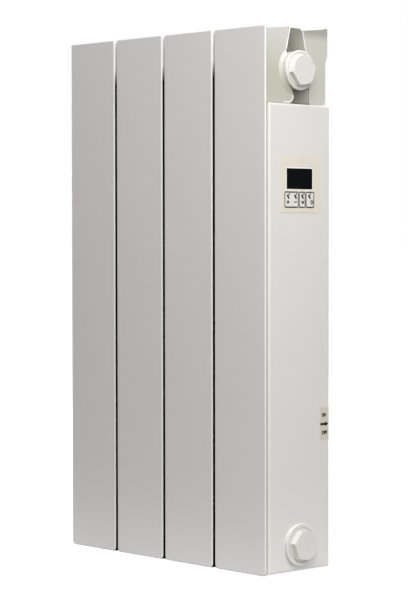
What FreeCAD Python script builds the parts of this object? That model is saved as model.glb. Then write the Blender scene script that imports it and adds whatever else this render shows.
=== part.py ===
import FreeCAD, Part
import math
import os

# Dry electric radiator made of cast aluminium sections with ceramic heaters inside.
# Millimetres, Z up, the front plates face -Y and the control end is at +X.
# While it is built, X = 0 is the middle of the section block, Y = 0 the front of the plates
# and Z = 0 the floor. The finished pieces are then moved so that the origin is under the middle.

# Section block
SECTION_COUNT = 4
SECTION_LENGTH = 80.0  # hub face to hub face
JOINT_GASKET = 0.5  # pressed gasket between two hub faces
HUB_CENTRES = 500.0  # upper to lower hub axis
HUB_HEIGHT = 29.8  # lower hub axis over the floor
HUB_SETBACK = 46.9  # hub axes behind the front of the plates

# Front plates
PLATE_OVER_HUB = 46.0  # plate top over the upper hub axis
PLATE_GAP = 3.6  # between neighbouring plates
PLATE_THICKNESS = 2.5
PLATE_EDGE_ROUND = 1.8
PLATE_TOP_CORNER = 2.5
PLATE_FOOT_CORNER = 5.0
END_PLATE_REACH = 1.0  # the end plate is wider towards the cover

# Flanks, the closed side walls of a section
FLANK_INSET = 2.4  # flank face inside the hub face
FLANK_WALL = 1.6
FLANK_EDGE_ROUND = 0.7
FLANK_LIFT = 0.5  # flank's lower edge over the floor
FLANK_FRONT_DROP = 3.5  # flank top under the plate top, at the plate
FLANK_CREST_RISE = 0.8  # flank top over the plate top, at the groove
FLANK_FLOOR_DROP = (1.0, 2.2)  # groove floor's top under the crest, at its front and rear edge
FLANK_DIP_DROP = 3.0  # rear flank under the plate top, at the groove
FLANK_REAR_RISE = 0.5  # rear flank over the plate top, at the rear wall
FLANK_FOOT_CORNER = 6.0  # round corner beside the groove over the end cover
GROOVE_REAR_DEPTH = 1.5  # at a groove's rear edge
GROOVE_SLOPE = 0.32  # fall of the groove floor per millimetre towards its front edge
GROOVE_MOUTH = (-8.5, 8.7)  # front and rear edge from the hub axis, at the top and the foot
GROOVE_AT_HUB = (-15.9, 16.9)  # the same where the groove meets the hub boss
GROOVE_BETWEEN_HUBS = (-4.3, 19.8)
GROOVE_REACH = 15.2  # height from the hub axis where a mouth groove ends inside the boss
GROOVE_TUCK = 12.0  # the same for the groove between the hubs
GROOVE_NECK = 25.0  # height from the hub axis where that groove has narrowed

# Rear wall, ribs and heater tube
REAR_FACE = 91.2  # rear wall behind the front of the plates
REAR_WALL = 2.0
REAR_PAD_RISE = 3.1  # raised pads that stand against the wall
REAR_PAD_UNDER_TOP = 29.2
REAR_PAD_CHAMFER = 7.1
WEB = 2.0
WEB_END_MARGIN = 14.0  # web's ends from the plate's ends
FIN = 1.5
FIN_OFFSET = 18.5
FIN_LENGTH = 31.0  # behind the front plate
FIN_END_MARGIN = 20.0
TUBE_RADIUS = 13.0
TUBE_BORE_RADIUS = 10.5
TUBE_FOOT = 4.0  # lower end of the tube over the floor

# Hubs
HUB_RADIUS = 20.0
HUB_BORE_RADIUS = 15.5
BOSS_RADIUS = 24.5
BOSS_DEPTH = 7.0  # boss behind the flank's face
BOSS_FLARE_RADIUS = 25.7
BOSS_FACE_RADIUS = 22.5
FIT_CLEARANCE = 0.05  # radial, on threaded and turned fits

# Nipples, gaskets and plugs
NIPPLE_LENGTH = 30.0
NIPPLE_BORE_RADIUS = 11.5
NIPPLE_LUG_WIDTH = 4.0
NIPPLE_LUG_HEIGHT = 2.0
GASKET_MARGIN = 1.0  # gasket's rim inside the hub tube, and clear of the nipple
UPPER_PLUG = (21.0, 6.0)  # flange radius and height of the hexagon
LOWER_PLUG = (22.6, 7.1)
PLUG_SEAL = 2.2
PLUG_FLANGE = 2.6
PLUG_FLANGE_ROUND = 1.1
PLUG_RING_GROOVE = (17.6, 18.8)  # inner and outer radius, round the hexagon
PLUG_RING_DEPTH = 0.9
PLUG_HEX_FLATS = 29.8
PLUG_FACE_RADIUS = 15.6  # round face inside the bevelled corners
PLUG_BEVEL_ANGLE = 30.0  # degrees from the face
PLUG_HEX_ROUND = 1.0
PLUG_SHANK = 14.0
PLUG_BORE_RADIUS = 12.0
UPPER_PLUG_TURN = 9.0  # degrees that the right-hand plugs stopped past square
LOWER_PLUG_TURN = -10.0
CAP_THICKNESS = 2.5
CAP_SPIGOT = 5.0

# Ceramic heaters
BOBBIN_COUNT = 3
BOBBIN_LENGTH = 147.0
BOBBIN_CLEARANCE = 0.7  # radial, in the heater tube
BOBBIN_OVER_HUB = 28.2  # foot of the stack over the lower hub axis
COIL_RING = 5.2  # coil legs from the tube axis
COIL_RADIUS = 1.9
COIL_CLEARANCE = 0.3
COIL_TOP_RISE = 8.0  # straight end of the coil over the stack
HEATER_ROD_RADIUS = 1.6
ROD_CLEARANCE = 0.2
ROD_COLLAR_RADIUS = 3.0
ROD_COLLAR = 2.5

# Side cover on the control end
COVER_SHEET = 2.0
COVER_BEND = 2.6
COVER_UNDER_HUB = 35.1  # cover top under the upper hub axis
COVER_LIFT = 1.8  # cover's lower edge over the floor
COVER_GAP = 0.4  # from the cover's edges to the casting beside them
COVER_SEAT_GAP = 0.3  # to the rear wall
COVER_REAR_RETURN = 39.75
COVER_END_RETURN = 24.0
COVER_SLOT = 1.2  # from the cover top to the flank above
END_WALL_EDGE = 12.0  # rear wall of the end section, past the section's middle
COVER_PLUG_HOLE_CLEARANCE = 0.3
SCREW_HEIGHTS = (110.0, 270.0, 430.0)
SCREW_FROM_EDGE = 5.5
SCREW_HEAD_RADIUS = 3.5
SCREW_HEAD = 2.2
SCREW_HEAD_ROUND = 0.8
SCREW_RADIUS = 1.9
SCREW_HOLE_RADIUS = 2.2
SCREW_LENGTH = 5.0

# Control panel
PANEL_CENTRE = 48.45  # behind the front of the plates
OVERLAY_DROP = 55.45  # overlay top under the cover top
OVERLAY_WIDTH = 58.9
OVERLAY_HEIGHT = 58.7
OVERLAY_FILM = 0.3
OVERLAY_CORNER = 1.0
WINDOW_CENTRE = 47.6
WINDOW_WIDTH = 37.9
WINDOW_HEIGHT = 21.5
WINDOW_DROP = 12.45  # window top under the overlay top
WINDOW_CLEARANCE = 0.2
WINDOW_RIM = 2.0
WINDOW_RIM_THICKNESS = 0.8
KEYS = (("plus", 31.05, 8.9), ("minus", 40.3, 8.9), ("mode", 51.6, 7.0), ("power", 63.2, 10.0))
KEY_GROUPS = (("plus", "minus"), ("mode",), ("power",))
KEY_HEIGHT = 14.5
KEY_ROW_DROP = 45.2  # middle of the key row under the overlay top
KEY_RISE = 0.3  # key top over the overlay
KEY_THICKNESS = 2.9
KEY_CORNER = 1.0
KEY_TOP_ROUND = 0.25
KEY_CLEARANCE = 0.3
KEY_TRAVEL = 0.5
KEY_STEM_RADIUS = 1.65
KEY_STEM_CLEARANCE = 0.15

# Control board
BOARD_STANDOFF = 6.4
BOARD_THICKNESS = 1.6
BOARD_WIDTH = 68.0
BOARD_HEIGHT = 120.0
BOARD_DROP = 24.7  # board top under the cover top
PILLAR_RADIUS = 3.0
PILLAR_INSET = 4.5  # pillar axis from the board's edges
BOARD_SCREW_RADIUS = 1.4
BOARD_SCREW_CLEARANCE = 0.1
BOARD_SCREW_LENGTH = 6.0
BOARD_SCREW_HEAD_RADIUS = 2.7
BOARD_SCREW_HEAD = 1.8
TACT_SIZE = 6.0
TACT_THICKNESS = 4.3
TACT_WELL = 2.6  # depth of the well that the key stem enters
TACT_SPARE = 0.2  # left under the stem at full travel
DISPLAY_MARGIN = 1.0  # display body inside the window's edges
DISPLAY_GAP = 0.3
RELAY_SIZE = (15.0, 15.5, 19.0)
RELAY_INSET = (1.5, 10.0)  # from the board's front edge and top
TRANSFORMER_SIZE = (17.0, 16.0, 30.0)
TRANSFORMER_INSET = (1.5, 16.0)  # from the board's rear edge and top
CONNECTOR_SIZE = (5.0, 16.0, 10.0)
CONNECTOR_INSET = 2.0  # over the board's lower edge
SHIELD_THICKNESS = 1.0
SHIELD_STANDOFF = 7.0
SHIELD_WIDTH = 26.0
SHIELD_HEIGHT = 96.0
SHIELD_PILLAR_RADIUS = 2.0
SHIELD_PILLAR_INSET = 3.5

# Mains switch on the cover's rear return
SWITCH_HEIGHT = 155.75
SWITCH_INSET = 17.5  # switch axis inside the cover's outer face
SWITCH_BEZEL = (15.0, 2.0, 21.0)
SWITCH_BODY = (12.8, 13.0, 18.8)
SWITCH_CLEARANCE = 0.2
SWITCH_WELL = (10.6, 16.6)
SWITCH_WELL_DEPTH = 11.0
ROCKER_SIDE_CLEARANCE = 0.3
ROCKER_END_CLEARANCE = 0.3
ROCKER_PIVOT_DEPTH = 1.0  # pivot under the cover's rear face
ROCKER_CREST_ANGLE = 38.0  # degrees from the pivot line to the rocker's raised end
ROCKER_SKIRT_ANGLE = 25.0  # degrees under the pivot line where the round ends stop
ROCKER_VALLEY = 3.4  # middle of the rocker's face from the pivot
ROCKER_KEEL = 5.5
ROCKER_KEEL_WIDTH = 6.0
ROCKER_TILT = 10.0  # degrees each way from the middle; it rests at OFF
ROCKER_PIN_RADIUS = 1.2
TAB_SIZE = (6.3, 8.0, 0.8)
TAB_SPACING = 9.0
STICKER_WIDTH = 12.0  # flat part in front of the rear bend
STICKER_HEIGHT = 34.5
STICKER_FILM = 0.2
STICKER_WRAP = 5.0  # from the outer face round the bend

# Cable inlet, terminal block, sensor and leads
INLET_HEIGHT = 75.0
INLET_FLANGE_RADIUS = 7.5
INLET_FLANGE = 2.5
INLET_NECK_RADIUS = 5.0
INLET_NECK_CLEARANCE = 0.15
INLET_RIM_RADIUS = 6.5
INLET_RIM = 2.0
INLET_BORE_RADIUS = 3.6
BLOCK_SIZE = (22.0, 24.0, 24.0)
BLOCK_HEIGHT = 80.0  # lower face over the floor
LEAD_RADIUS = 1.4
LEAD_BEND = 9.0
LEAD_START = 6.0  # leads begin this far before the first heater
LEAD_EXIT = 22.0  # leads leave the last hub this far past its heater
BUSH_RADIUS = 7.5
BUSH_CLEARANCE = 0.1
BUSH_FLANGE_RADIUS = 8.4
BUSH_FLANGE = 2.0
BUSH_GAP = 0.3
SENSOR_SIZE = (12.0, 10.0, 5.0)
SENSOR_INSET = (5.0, 12.0)  # from the cover's outer face and rear face
EARTH_HEIGHT = 70.0
EARTH_HEAD_RADIUS = 4.0
EARTH_HEAD = 2.5
EARTH_RADIUS = 2.0
EARTH_CLEARANCE = 0.1

# Places that follow from the sizes above
PITCH = SECTION_LENGTH + JOINT_GASKET
HALF_SECTION = SECTION_LENGTH / 2
HALF_BLOCK = (SECTION_COUNT * PITCH - JOINT_GASKET) / 2
CENTRES = [-HALF_BLOCK + HALF_SECTION + i * PITCH for i in range(SECTION_COUNT)]
END_CENTRE = CENTRES[-1]
UPPER_HUB = HUB_HEIGHT + HUB_CENTRES
PLATE_HEIGHT = UPPER_HUB + PLATE_OVER_HUB
PLATE_WIDTH = PITCH - PLATE_GAP
FLANK_FACE = HALF_SECTION - FLANK_INSET
REAR_TOP = PLATE_HEIGHT + FLANK_REAR_RISE
COVER_TOP = UPPER_HUB - COVER_UNDER_HUB
COVER_FACE = HALF_BLOCK + COVER_SHEET
COVER_FRONT = PLATE_THICKNESS + COVER_GAP
COVER_REAR_INSIDE = REAR_FACE + COVER_SEAT_GAP
COVER_REAR = COVER_REAR_INSIDE + COVER_SHEET
COVER_EDGE = HALF_BLOCK - COVER_REAR_RETURN
END_FLANK_FOOT = COVER_TOP + COVER_SLOT
OVERLAY_FACE = COVER_FACE + OVERLAY_FILM
OVERLAY_TOP = COVER_TOP - OVERLAY_DROP
KEY_ROW = OVERLAY_TOP - KEY_ROW_DROP
BOARD_FACE = HALF_BLOCK - BOARD_STANDOFF
BOARD_BACK = BOARD_FACE - BOARD_THICKNESS
BOARD_TOP = COVER_TOP - BOARD_DROP
BOARD_FOOT = BOARD_TOP - BOARD_HEIGHT
BOARD_FRONT_EDGE = PANEL_CENTRE - BOARD_WIDTH / 2
BOARD_REAR_EDGE = PANEL_CENTRE + BOARD_WIDTH / 2
SWITCH_AXIS = COVER_FACE - SWITCH_INSET
SWITCH_BACK = COVER_REAR - SWITCH_BODY[1]
ROCKER_PIVOT = COVER_REAR - ROCKER_PIVOT_DEPTH
ROCKER_REACH = SWITCH_WELL[1] / 2 - ROCKER_END_CLEARANCE
ROCKER_TOP = ROCKER_PIVOT + ROCKER_REACH * math.sin(math.radians(ROCKER_CREST_ANGLE + ROCKER_TILT))
STACK_FOOT = HUB_HEIGHT + BOBBIN_OVER_HUB
STACK_TOP = STACK_FOOT + BOBBIN_COUNT * BOBBIN_LENGTH
COIL_TOP = STACK_TOP + COIL_TOP_RISE + COIL_RING + COIL_RADIUS
TUBE_BORE_TOP = max(UPPER_HUB, COIL_TOP + BOBBIN_CLEARANCE)
TUBE_TOP = max(UPPER_HUB, COIL_TOP + BOBBIN_CLEARANCE + TUBE_RADIUS - TUBE_BORE_RADIUS)
BLOCK_TOP = BLOCK_HEIGHT + BLOCK_SIZE[2]
LEAD_X = END_CENTRE + LEAD_EXIT
BUSH_SEAT = HUB_HEIGHT + HUB_RADIUS + BUSH_GAP
THROUGH = 1.0  # a cut's overrun past the face that it goes through
ROUND_LIMIT = 0.45  # largest share of a wall that the round on one of its edges takes

V = FreeCAD.Vector
ORIGIN_SHIFT = V(-COVER_SHEET / 2, -ROCKER_TOP / 2, 0)


def block(x, y, z):
    """Box between three pairs of limits."""
    return Part.makeBox(x[1] - x[0], y[1] - y[0], z[1] - z[0], V(x[0], y[0], z[0]))


def around(middle, size):
    """Limits of a size about its middle."""
    return (middle - size / 2, middle + size / 2)


def rod_x(radius, x, y, z):
    """Cylinder along X between two limits."""
    return Part.makeCylinder(radius, x[1] - x[0], V(x[0], y, z), V(1, 0, 0))


def rod_y(radius, x, y, z):
    """Cylinder along Y between two limits."""
    return Part.makeCylinder(radius, y[1] - y[0], V(x, y[0], z), V(0, 1, 0))


def rod_z(radius, x, y, z):
    """Cylinder along Z between two limits."""
    return Part.makeCylinder(radius, z[1] - z[0], V(x, y, z[0]), V(0, 0, 1))


def side_face(points):
    """Flat face at X = 0 through (y, z) points."""
    corners = [V(0, y, z) for y, z in points]
    return Part.Face(Part.makePolygon(corners + corners[:1]))


def prism_x(face, x):
    """A flat face at X = 0 drawn out along X between two limits."""
    return face.translated(V(x[0], 0, 0)).extrude(V(x[1] - x[0], 0, 0))


def fuse(pieces):
    """Several solids as one, without seams between flush faces."""
    return pieces[0].multiFuse(pieces[1:]).removeSplitter()


def edges_at(shape, axis, place):
    """Edges that lie whole in the plane across an axis at a place."""
    return [e for e in shape.Edges if all(abs(getattr(v, axis) - place) < 1e-4 for v in e.Vertexes)]


def edges_along(shape, axis):
    """Straight edges that run along an axis."""
    found = []
    for edge in shape.Edges:
        ends = [v.Point for v in edge.Vertexes]
        if len(ends) == 2 and abs(abs((ends[1] - ends[0]).normalize().dot(axis)) - 1) < 1e-6:
            found.append(edge)
    return found


def round_corners(shape, axis, radius):
    """Rounds every straight edge along an axis."""
    return shape.makeFillet(radius, edges_along(shape, axis))


def front_plate(right_edge):
    """Flat front plate with rounded rim and corners."""
    plate = block((-PLATE_WIDTH / 2, right_edge), (0, PLATE_THICKNESS), (0, PLATE_HEIGHT))
    corners = edges_along(plate, V(0, 1, 0))
    upper = [e for e in corners if e.Vertexes[0].Z > HUB_HEIGHT]
    plate = plate.makeFillet(PLATE_TOP_CORNER, upper)
    lower = [e for e in edges_along(plate, V(0, 1, 0)) if e.Vertexes[0].Z < PLATE_FOOT_CORNER]
    plate = plate.makeFillet(PLATE_FOOT_CORNER, lower)
    return plate.makeFillet(min(PLATE_EDGE_ROUND, 2 * ROUND_LIMIT * PLATE_THICKNESS), edges_at(plate, "Y", 0))


def flank_outline(foot):
    """Side view of a section's flanks, from their lower edge up."""
    front = PLATE_THICKNESS / 2
    crest = PLATE_HEIGHT + FLANK_CREST_RISE
    return side_face([
        (front, foot),
        (front, PLATE_HEIGHT - FLANK_FRONT_DROP),
        (HUB_SETBACK + GROOVE_MOUTH[0], crest),
        (HUB_SETBACK + GROOVE_MOUTH[0], crest - FLANK_FLOOR_DROP[0]),
        (HUB_SETBACK + GROOVE_MOUTH[1], crest - FLANK_FLOOR_DROP[1]),
        (HUB_SETBACK + GROOVE_MOUTH[1], PLATE_HEIGHT - FLANK_DIP_DROP),
        (REAR_FACE, REAR_TOP),
        (REAR_FACE, foot),
    ])


def grooves(foot):
    """Front and rear edges of the grooves: over the upper hub, between the hubs and under the lower hub."""
    def edge(*points):
        return [(HUB_SETBACK + across, z) for across, z in points]

    over = PLATE_HEIGHT + FLANK_CREST_RISE + 2 * FLANK_WALL
    under = foot - 2 * FLANK_WALL
    reach = UPPER_HUB + GROOVE_REACH
    tuck = UPPER_HUB - GROOVE_TUCK
    wide, narrow = GROOVE_AT_HUB[0], GROOVE_BETWEEN_HUBS[0]
    front = [(wide, tuck), (narrow, UPPER_HUB - GROOVE_NECK)]
    found = [(
        edge((GROOVE_MOUTH[0], over), (wide, reach)),
        edge((GROOVE_MOUTH[1], over), (GROOVE_AT_HUB[1], reach)),
    )]
    if foot > HUB_HEIGHT:
        low = under
        front += [(narrow, low)]
    else:
        low = HUB_HEIGHT + GROOVE_TUCK
        front += [(narrow, HUB_HEIGHT + GROOVE_NECK), (wide, low)]
        found.append((
            edge((wide, HUB_HEIGHT - GROOVE_REACH), (GROOVE_MOUTH[0], under)),
            edge((GROOVE_AT_HUB[1], HUB_HEIGHT - GROOVE_REACH), (GROOVE_MOUTH[1], under)),
        ))
    found.append((edge(*front), edge((GROOVE_BETWEEN_HUBS[1], tuck), (GROOVE_BETWEEN_HUBS[1], low))))
    return found


def pit(groove, wall=0.0):
    """Solid of a groove from its flat sloping floor outwards past the hub face, or with a wall round it."""
    front, rear = groove
    outline = side_face(front + rear[::-1])
    if wall:
        outline = outline.makeOffset2D(wall, 2)
    (top_y, top_z), (low_y, low_z) = rear
    lean = (low_y - top_y) / (low_z - top_z)

    def on_floor(point):
        from_rear = top_y + lean * (point.z - top_z) - point.y
        return V(FLANK_FACE - GROOVE_REAR_DEPTH - GROOVE_SLOPE * from_rear - wall, point.y, point.z)

    corners = [on_floor(vertex.Point) for vertex in outline.OuterWire.OrderedVertexes]
    floor = Part.Face(Part.makePolygon(corners + corners[:1]))
    return floor.extrude(V(HALF_SECTION, 0, 0))


def corner_waste(y, z, radius):
    """Side view of what is cut away to round a lower rear corner at (y, z)."""
    corner = side_face([(y, z), (y, z + radius), (y - radius, z + radius), (y - radius, z)])
    disc = Part.Face(Part.Wire(Part.makeCircle(radius, V(0, y - radius, z + radius), V(1, 0, 0))))
    return corner.cut(disc).Faces[0]


def flank(foot):
    """Right-hand side wall of a section, sunk along its grooves."""
    outline = flank_outline(foot)
    wall = prism_x(outline, (FLANK_FACE - FLANK_WALL, FLANK_FACE))
    envelope = prism_x(outline, (0, FLANK_FACE))
    trays = []
    for groove in grooves(foot):
        wall = wall.cut(pit(groove))
        trays.append(pit(groove, FLANK_WALL).cut(pit(groove)).common(envelope))
    side = fuse([wall] + trays)
    if foot > HUB_HEIGHT:
        front, rear = GROOVE_BETWEEN_HUBS
        depth = GROOVE_REAR_DEPTH + GROOVE_SLOPE * (rear - front)
        corner = corner_waste(HUB_SETBACK + front, foot, FLANK_FOOT_CORNER)
        side = side.cut(prism_x(corner, (FLANK_FACE - depth, FLANK_FACE)))
    return side.makeFillet(min(FLANK_EDGE_ROUND, ROUND_LIMIT * FLANK_WALL), edges_at(side, "X", FLANK_FACE))


def boss_waste(foot):
    """What the right-hand grooves take off the hub bosses, down to the hub tubes."""
    ends = (0, HALF_SECTION + 2 * THROUGH)
    tubes = [rod_x(HUB_RADIUS, ends, HUB_SETBACK, height) for height in (HUB_HEIGHT, UPPER_HUB)]
    return [pit(groove).cut(Part.makeCompound(tubes)) for groove in grooves(foot)]


def hub(height):
    """Cross tube of a section with a flared boss at each end, still without its bore."""
    pieces = [rod_x(HUB_RADIUS, (-HALF_SECTION, HALF_SECTION), HUB_SETBACK, height)]
    for side in (-1, 1):
        start = V(side * (FLANK_FACE - BOSS_DEPTH), HUB_SETBACK, height)
        outward = V(side, 0, 0)
        pieces.append(Part.makeCylinder(BOSS_RADIUS, BOSS_DEPTH, start, outward))
        flare = start + outward * BOSS_DEPTH
        pieces.append(Part.makeCone(BOSS_FLARE_RADIUS, BOSS_FACE_RADIUS, FLANK_INSET, flare, outward))
    return pieces


def rear_wall(lower_edge):
    """Rear wall with its raised pads. Below the end cover it stops at lower_edge."""
    thickness = (REAR_FACE - REAR_WALL, REAR_FACE)
    lower_pad_edge = FLANK_FACE if lower_edge == FLANK_FACE else COVER_EDGE - END_CENTRE - COVER_GAP
    pad_foot = REAR_TOP - REAR_PAD_UNDER_TOP
    pad_rear = REAR_FACE + REAR_PAD_RISE
    upper_pad = side_face([
        (REAR_FACE - REAR_WALL, pad_foot - REAR_PAD_CHAMFER),
        (REAR_FACE, pad_foot - REAR_PAD_CHAMFER),
        (pad_rear, pad_foot),
        (pad_rear, REAR_TOP),
        (REAR_FACE - REAR_WALL, REAR_TOP),
    ])
    lower_pad = side_face([
        (REAR_FACE - REAR_WALL, REAR_PAD_UNDER_TOP + REAR_PAD_CHAMFER),
        (REAR_FACE, REAR_PAD_UNDER_TOP + REAR_PAD_CHAMFER),
        (pad_rear, REAR_PAD_UNDER_TOP),
        (pad_rear, 0),
        (REAR_FACE - REAR_WALL, 0),
    ])
    return [
        block((-FLANK_FACE, lower_edge), thickness, (0, REAR_TOP)),
        block((-FLANK_FACE, FLANK_FACE), thickness, (END_FLANK_FOOT, REAR_TOP)),
        prism_x(upper_pad, (-FLANK_FACE, FLANK_FACE)),
        prism_x(lower_pad, (-FLANK_FACE, lower_pad_edge)),
    ]


def ribs(right_foot):
    """Middle web and the fins that stand in the air ducts."""
    top = PLATE_HEIGHT - WEB_END_MARGIN
    pieces = [block(around(0, WEB), (PLATE_THICKNESS / 2, REAR_FACE - REAR_WALL / 2), (WEB_END_MARGIN, top))]
    fin_top = PLATE_HEIGHT - FIN_END_MARGIN
    depth = (PLATE_THICKNESS / 2, PLATE_THICKNESS + FIN_LENGTH)
    for side, foot in ((-1, FIN_END_MARGIN), (1, max(FIN_END_MARGIN, right_foot))):
        pieces.append(block(around(side * FIN_OFFSET, FIN), depth, (foot, fin_top)))
    return pieces


def section(is_end):
    """One cast section about its own middle. The end one is open on its right for the controls."""
    right_foot = END_FLANK_FOOT if is_end else FLANK_LIFT
    right = flank(right_foot)
    left = flank(FLANK_LIFT).mirror(V(0, 0, 0), V(1, 0, 0))
    tube = rod_z(TUBE_RADIUS, 0, HUB_SETBACK, (TUBE_FOOT, TUBE_TOP))
    plate_edge = PLATE_WIDTH / 2 + END_PLATE_REACH if is_end else PLATE_WIDTH / 2
    pieces = [front_plate(plate_edge), right, left, tube]
    pieces += rear_wall(END_WALL_EDGE if is_end else FLANK_FACE)
    pieces += ribs(right_foot)
    pieces += hub(HUB_HEIGHT) + hub(UPPER_HUB)
    cuts = boss_waste(right_foot)
    cuts += [waste.mirror(V(0, 0, 0), V(1, 0, 0)) for waste in boss_waste(FLANK_LIFT)]
    cuts.append(rod_z(TUBE_BORE_RADIUS, 0, HUB_SETBACK, (TUBE_FOOT - THROUGH, TUBE_BORE_TOP)))
    for height in (HUB_HEIGHT, UPPER_HUB):
        ends = (-HALF_SECTION - THROUGH, HALF_SECTION + THROUGH)
        cuts.append(rod_x(HUB_BORE_RADIUS, ends, HUB_SETBACK, height))
    if is_end:
        exit_top = HUB_HEIGHT + BOSS_RADIUS
        cuts.append(rod_z(BUSH_RADIUS + BUSH_CLEARANCE, LEAD_EXIT, HUB_SETBACK, (HUB_HEIGHT, exit_top)))
        spot_face = BUSH_FLANGE_RADIUS + BUSH_CLEARANCE
        cuts.append(rod_z(spot_face, LEAD_EXIT, HUB_SETBACK, (BUSH_SEAT, exit_top)))
        wall = (REAR_FACE - REAR_WALL - THROUGH, REAR_FACE + THROUGH)
        place = COVER_EDGE + SCREW_FROM_EDGE - END_CENTRE
        for height in SCREW_HEIGHTS:
            cuts.append(rod_y(SCREW_RADIUS + FIT_CLEARANCE, place, wall, height))
        cuts.append(rod_y(EARTH_RADIUS + EARTH_CLEARANCE, place, wall, EARTH_HEIGHT))
    return fuse(pieces).cut(Part.makeCompound(cuts))


def nipples(height):
    """Joining nipples in one row of hubs, each with two lugs for the turning key."""
    pieces = []
    for left, right in zip(CENTRES, CENTRES[1:]):
        ends = around((left + right) / 2, NIPPLE_LENGTH)
        ring = rod_x(HUB_BORE_RADIUS - FIT_CLEARANCE, ends, HUB_SETBACK, height)
        ring = ring.cut(rod_x(NIPPLE_BORE_RADIUS, ends, HUB_SETBACK, height))
        lugs = []
        for side in (-1, 1):
            inner = height + side * (NIPPLE_BORE_RADIUS - NIPPLE_LUG_HEIGHT)
            outer = height + side * (NIPPLE_BORE_RADIUS + THROUGH)
            lugs.append(block(ends, around(HUB_SETBACK, NIPPLE_LUG_WIDTH), sorted((inner, outer))))
        pieces.append(fuse([ring] + lugs))
    return pieces


def joint_gaskets():
    """Flat rings between the hub faces."""
    pieces = []
    for left, right in zip(CENTRES, CENTRES[1:]):
        ends = around((left + right) / 2, JOINT_GASKET)
        for height in (HUB_HEIGHT, UPPER_HUB):
            ring = rod_x(HUB_RADIUS - GASKET_MARGIN, ends, HUB_SETBACK, height)
            pieces.append(ring.cut(rod_x(HUB_BORE_RADIUS + GASKET_MARGIN, ends, HUB_SETBACK, height)))
    return pieces


def plug(size, turn):
    """Blanking plug along +X from its seat at X = 0, with the hexagon outwards."""
    flange_radius, hexagon_height = size
    flange_top = PLUG_SEAL + PLUG_FLANGE
    top = flange_top + hexagon_height
    flange = Part.makeCylinder(flange_radius, PLUG_FLANGE, V(PLUG_SEAL, 0, 0), V(1, 0, 0))
    rims = edges_at(flange, "X", flange_top) + edges_at(flange, "X", PLUG_SEAL)
    flange = flange.makeFillet(min(PLUG_FLANGE_ROUND, ROUND_LIMIT * PLUG_FLANGE), rims)
    groove = Part.makeCylinder(PLUG_RING_GROOVE[1], PLUG_RING_DEPTH, V(flange_top, 0, 0), V(-1, 0, 0))
    groove = groove.cut(
        Part.makeCylinder(PLUG_RING_GROOVE[0], PLUG_RING_DEPTH, V(flange_top, 0, 0), V(-1, 0, 0))
    )
    corner = PLUG_HEX_FLATS / math.sqrt(3)
    angles = [math.radians(turn + 60 * i) for i in range(6)]
    hexagon = side_face([(corner * math.cos(a), corner * math.sin(a)) for a in angles])
    hexagon = prism_x(hexagon, (flange_top - PLUG_FLANGE / 2, top))
    hexagon = round_corners(hexagon, V(1, 0, 0), PLUG_HEX_ROUND)
    crown_foot = PLUG_FACE_RADIUS + top / math.tan(math.radians(PLUG_BEVEL_ANGLE))
    crown = Part.makeCone(crown_foot, PLUG_FACE_RADIUS, top, V(0, 0, 0), V(1, 0, 0))
    shank_length = PLUG_SHANK + PLUG_SEAL + PLUG_FLANGE / 2
    shank_radius = HUB_BORE_RADIUS - FIT_CLEARANCE
    shank = Part.makeCylinder(shank_radius, shank_length, V(-PLUG_SHANK, 0, 0), V(1, 0, 0))
    hollow = Part.makeCylinder(PLUG_BORE_RADIUS, PLUG_SHANK, V(-PLUG_SHANK, 0, 0), V(1, 0, 0))
    return fuse([flange.cut(groove), hexagon.common(crown), shank]).cut(hollow)


def plug_seal(size):
    """Flat seal under a plug's flange, from its seat at X = 0."""
    ring = Part.makeCylinder(size[0] - PLUG_FLANGE_ROUND, PLUG_SEAL, V(0, 0, 0), V(1, 0, 0))
    bore = Part.makeCylinder(HUB_BORE_RADIUS + GASKET_MARGIN, PLUG_SEAL, V(0, 0, 0), V(1, 0, 0))
    return ring.cut(bore)


def on_right(shape, seat, height):
    """A plug or seal put on a right-hand seat."""
    return shape.translated(V(seat, HUB_SETBACK, height))


def on_left(shape, height):
    """A plug or seal put on the left-hand hub face."""
    return shape.mirror(V(0, 0, 0), V(1, 0, 0)).translated(V(-HALF_BLOCK, HUB_SETBACK, height))


def core_cap(centre):
    """Cap that closes the core hole under a section's lower hub."""
    disc = rod_z(TUBE_RADIUS, centre, HUB_SETBACK, (TUBE_FOOT - CAP_THICKNESS, TUBE_FOOT))
    spigot = (TUBE_FOOT - CAP_THICKNESS, TUBE_FOOT + CAP_SPIGOT)
    return fuse([disc, rod_z(TUBE_BORE_RADIUS - FIT_CLEARANCE, centre, HUB_SETBACK, spigot)])


def bobbins(centre):
    """Stack of steatite bobbins with bores for the rod and the two coil legs."""
    pieces = []
    for index in range(BOBBIN_COUNT):
        foot = STACK_FOOT + index * BOBBIN_LENGTH
        ends = (foot, foot + BOBBIN_LENGTH)
        body = rod_z(TUBE_BORE_RADIUS - BOBBIN_CLEARANCE, centre, HUB_SETBACK, ends)
        bores = [rod_z(HEATER_ROD_RADIUS + ROD_CLEARANCE, centre, HUB_SETBACK, ends)]
        for side in (-1, 1):
            place = HUB_SETBACK + side * COIL_RING
            bores.append(rod_z(COIL_RADIUS + COIL_CLEARANCE, centre, place, ends))
        pieces.append(body.cut(Part.makeCompound(bores)))
    return pieces


def heater_rod(centre):
    """Steel rod from the core cap through the bobbins, which stand on its collar."""
    foot = TUBE_FOOT + CAP_SPIGOT
    return fuse([
        rod_z(HEATER_ROD_RADIUS, centre, HUB_SETBACK, (foot, STACK_TOP + ROD_COLLAR)),
        rod_z(ROD_COLLAR_RADIUS, centre, HUB_SETBACK, (STACK_FOOT - ROD_COLLAR, STACK_FOOT)),
        rod_z(ROD_COLLAR_RADIUS, centre, HUB_SETBACK, (STACK_TOP, STACK_TOP + ROD_COLLAR)),
    ])


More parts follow.
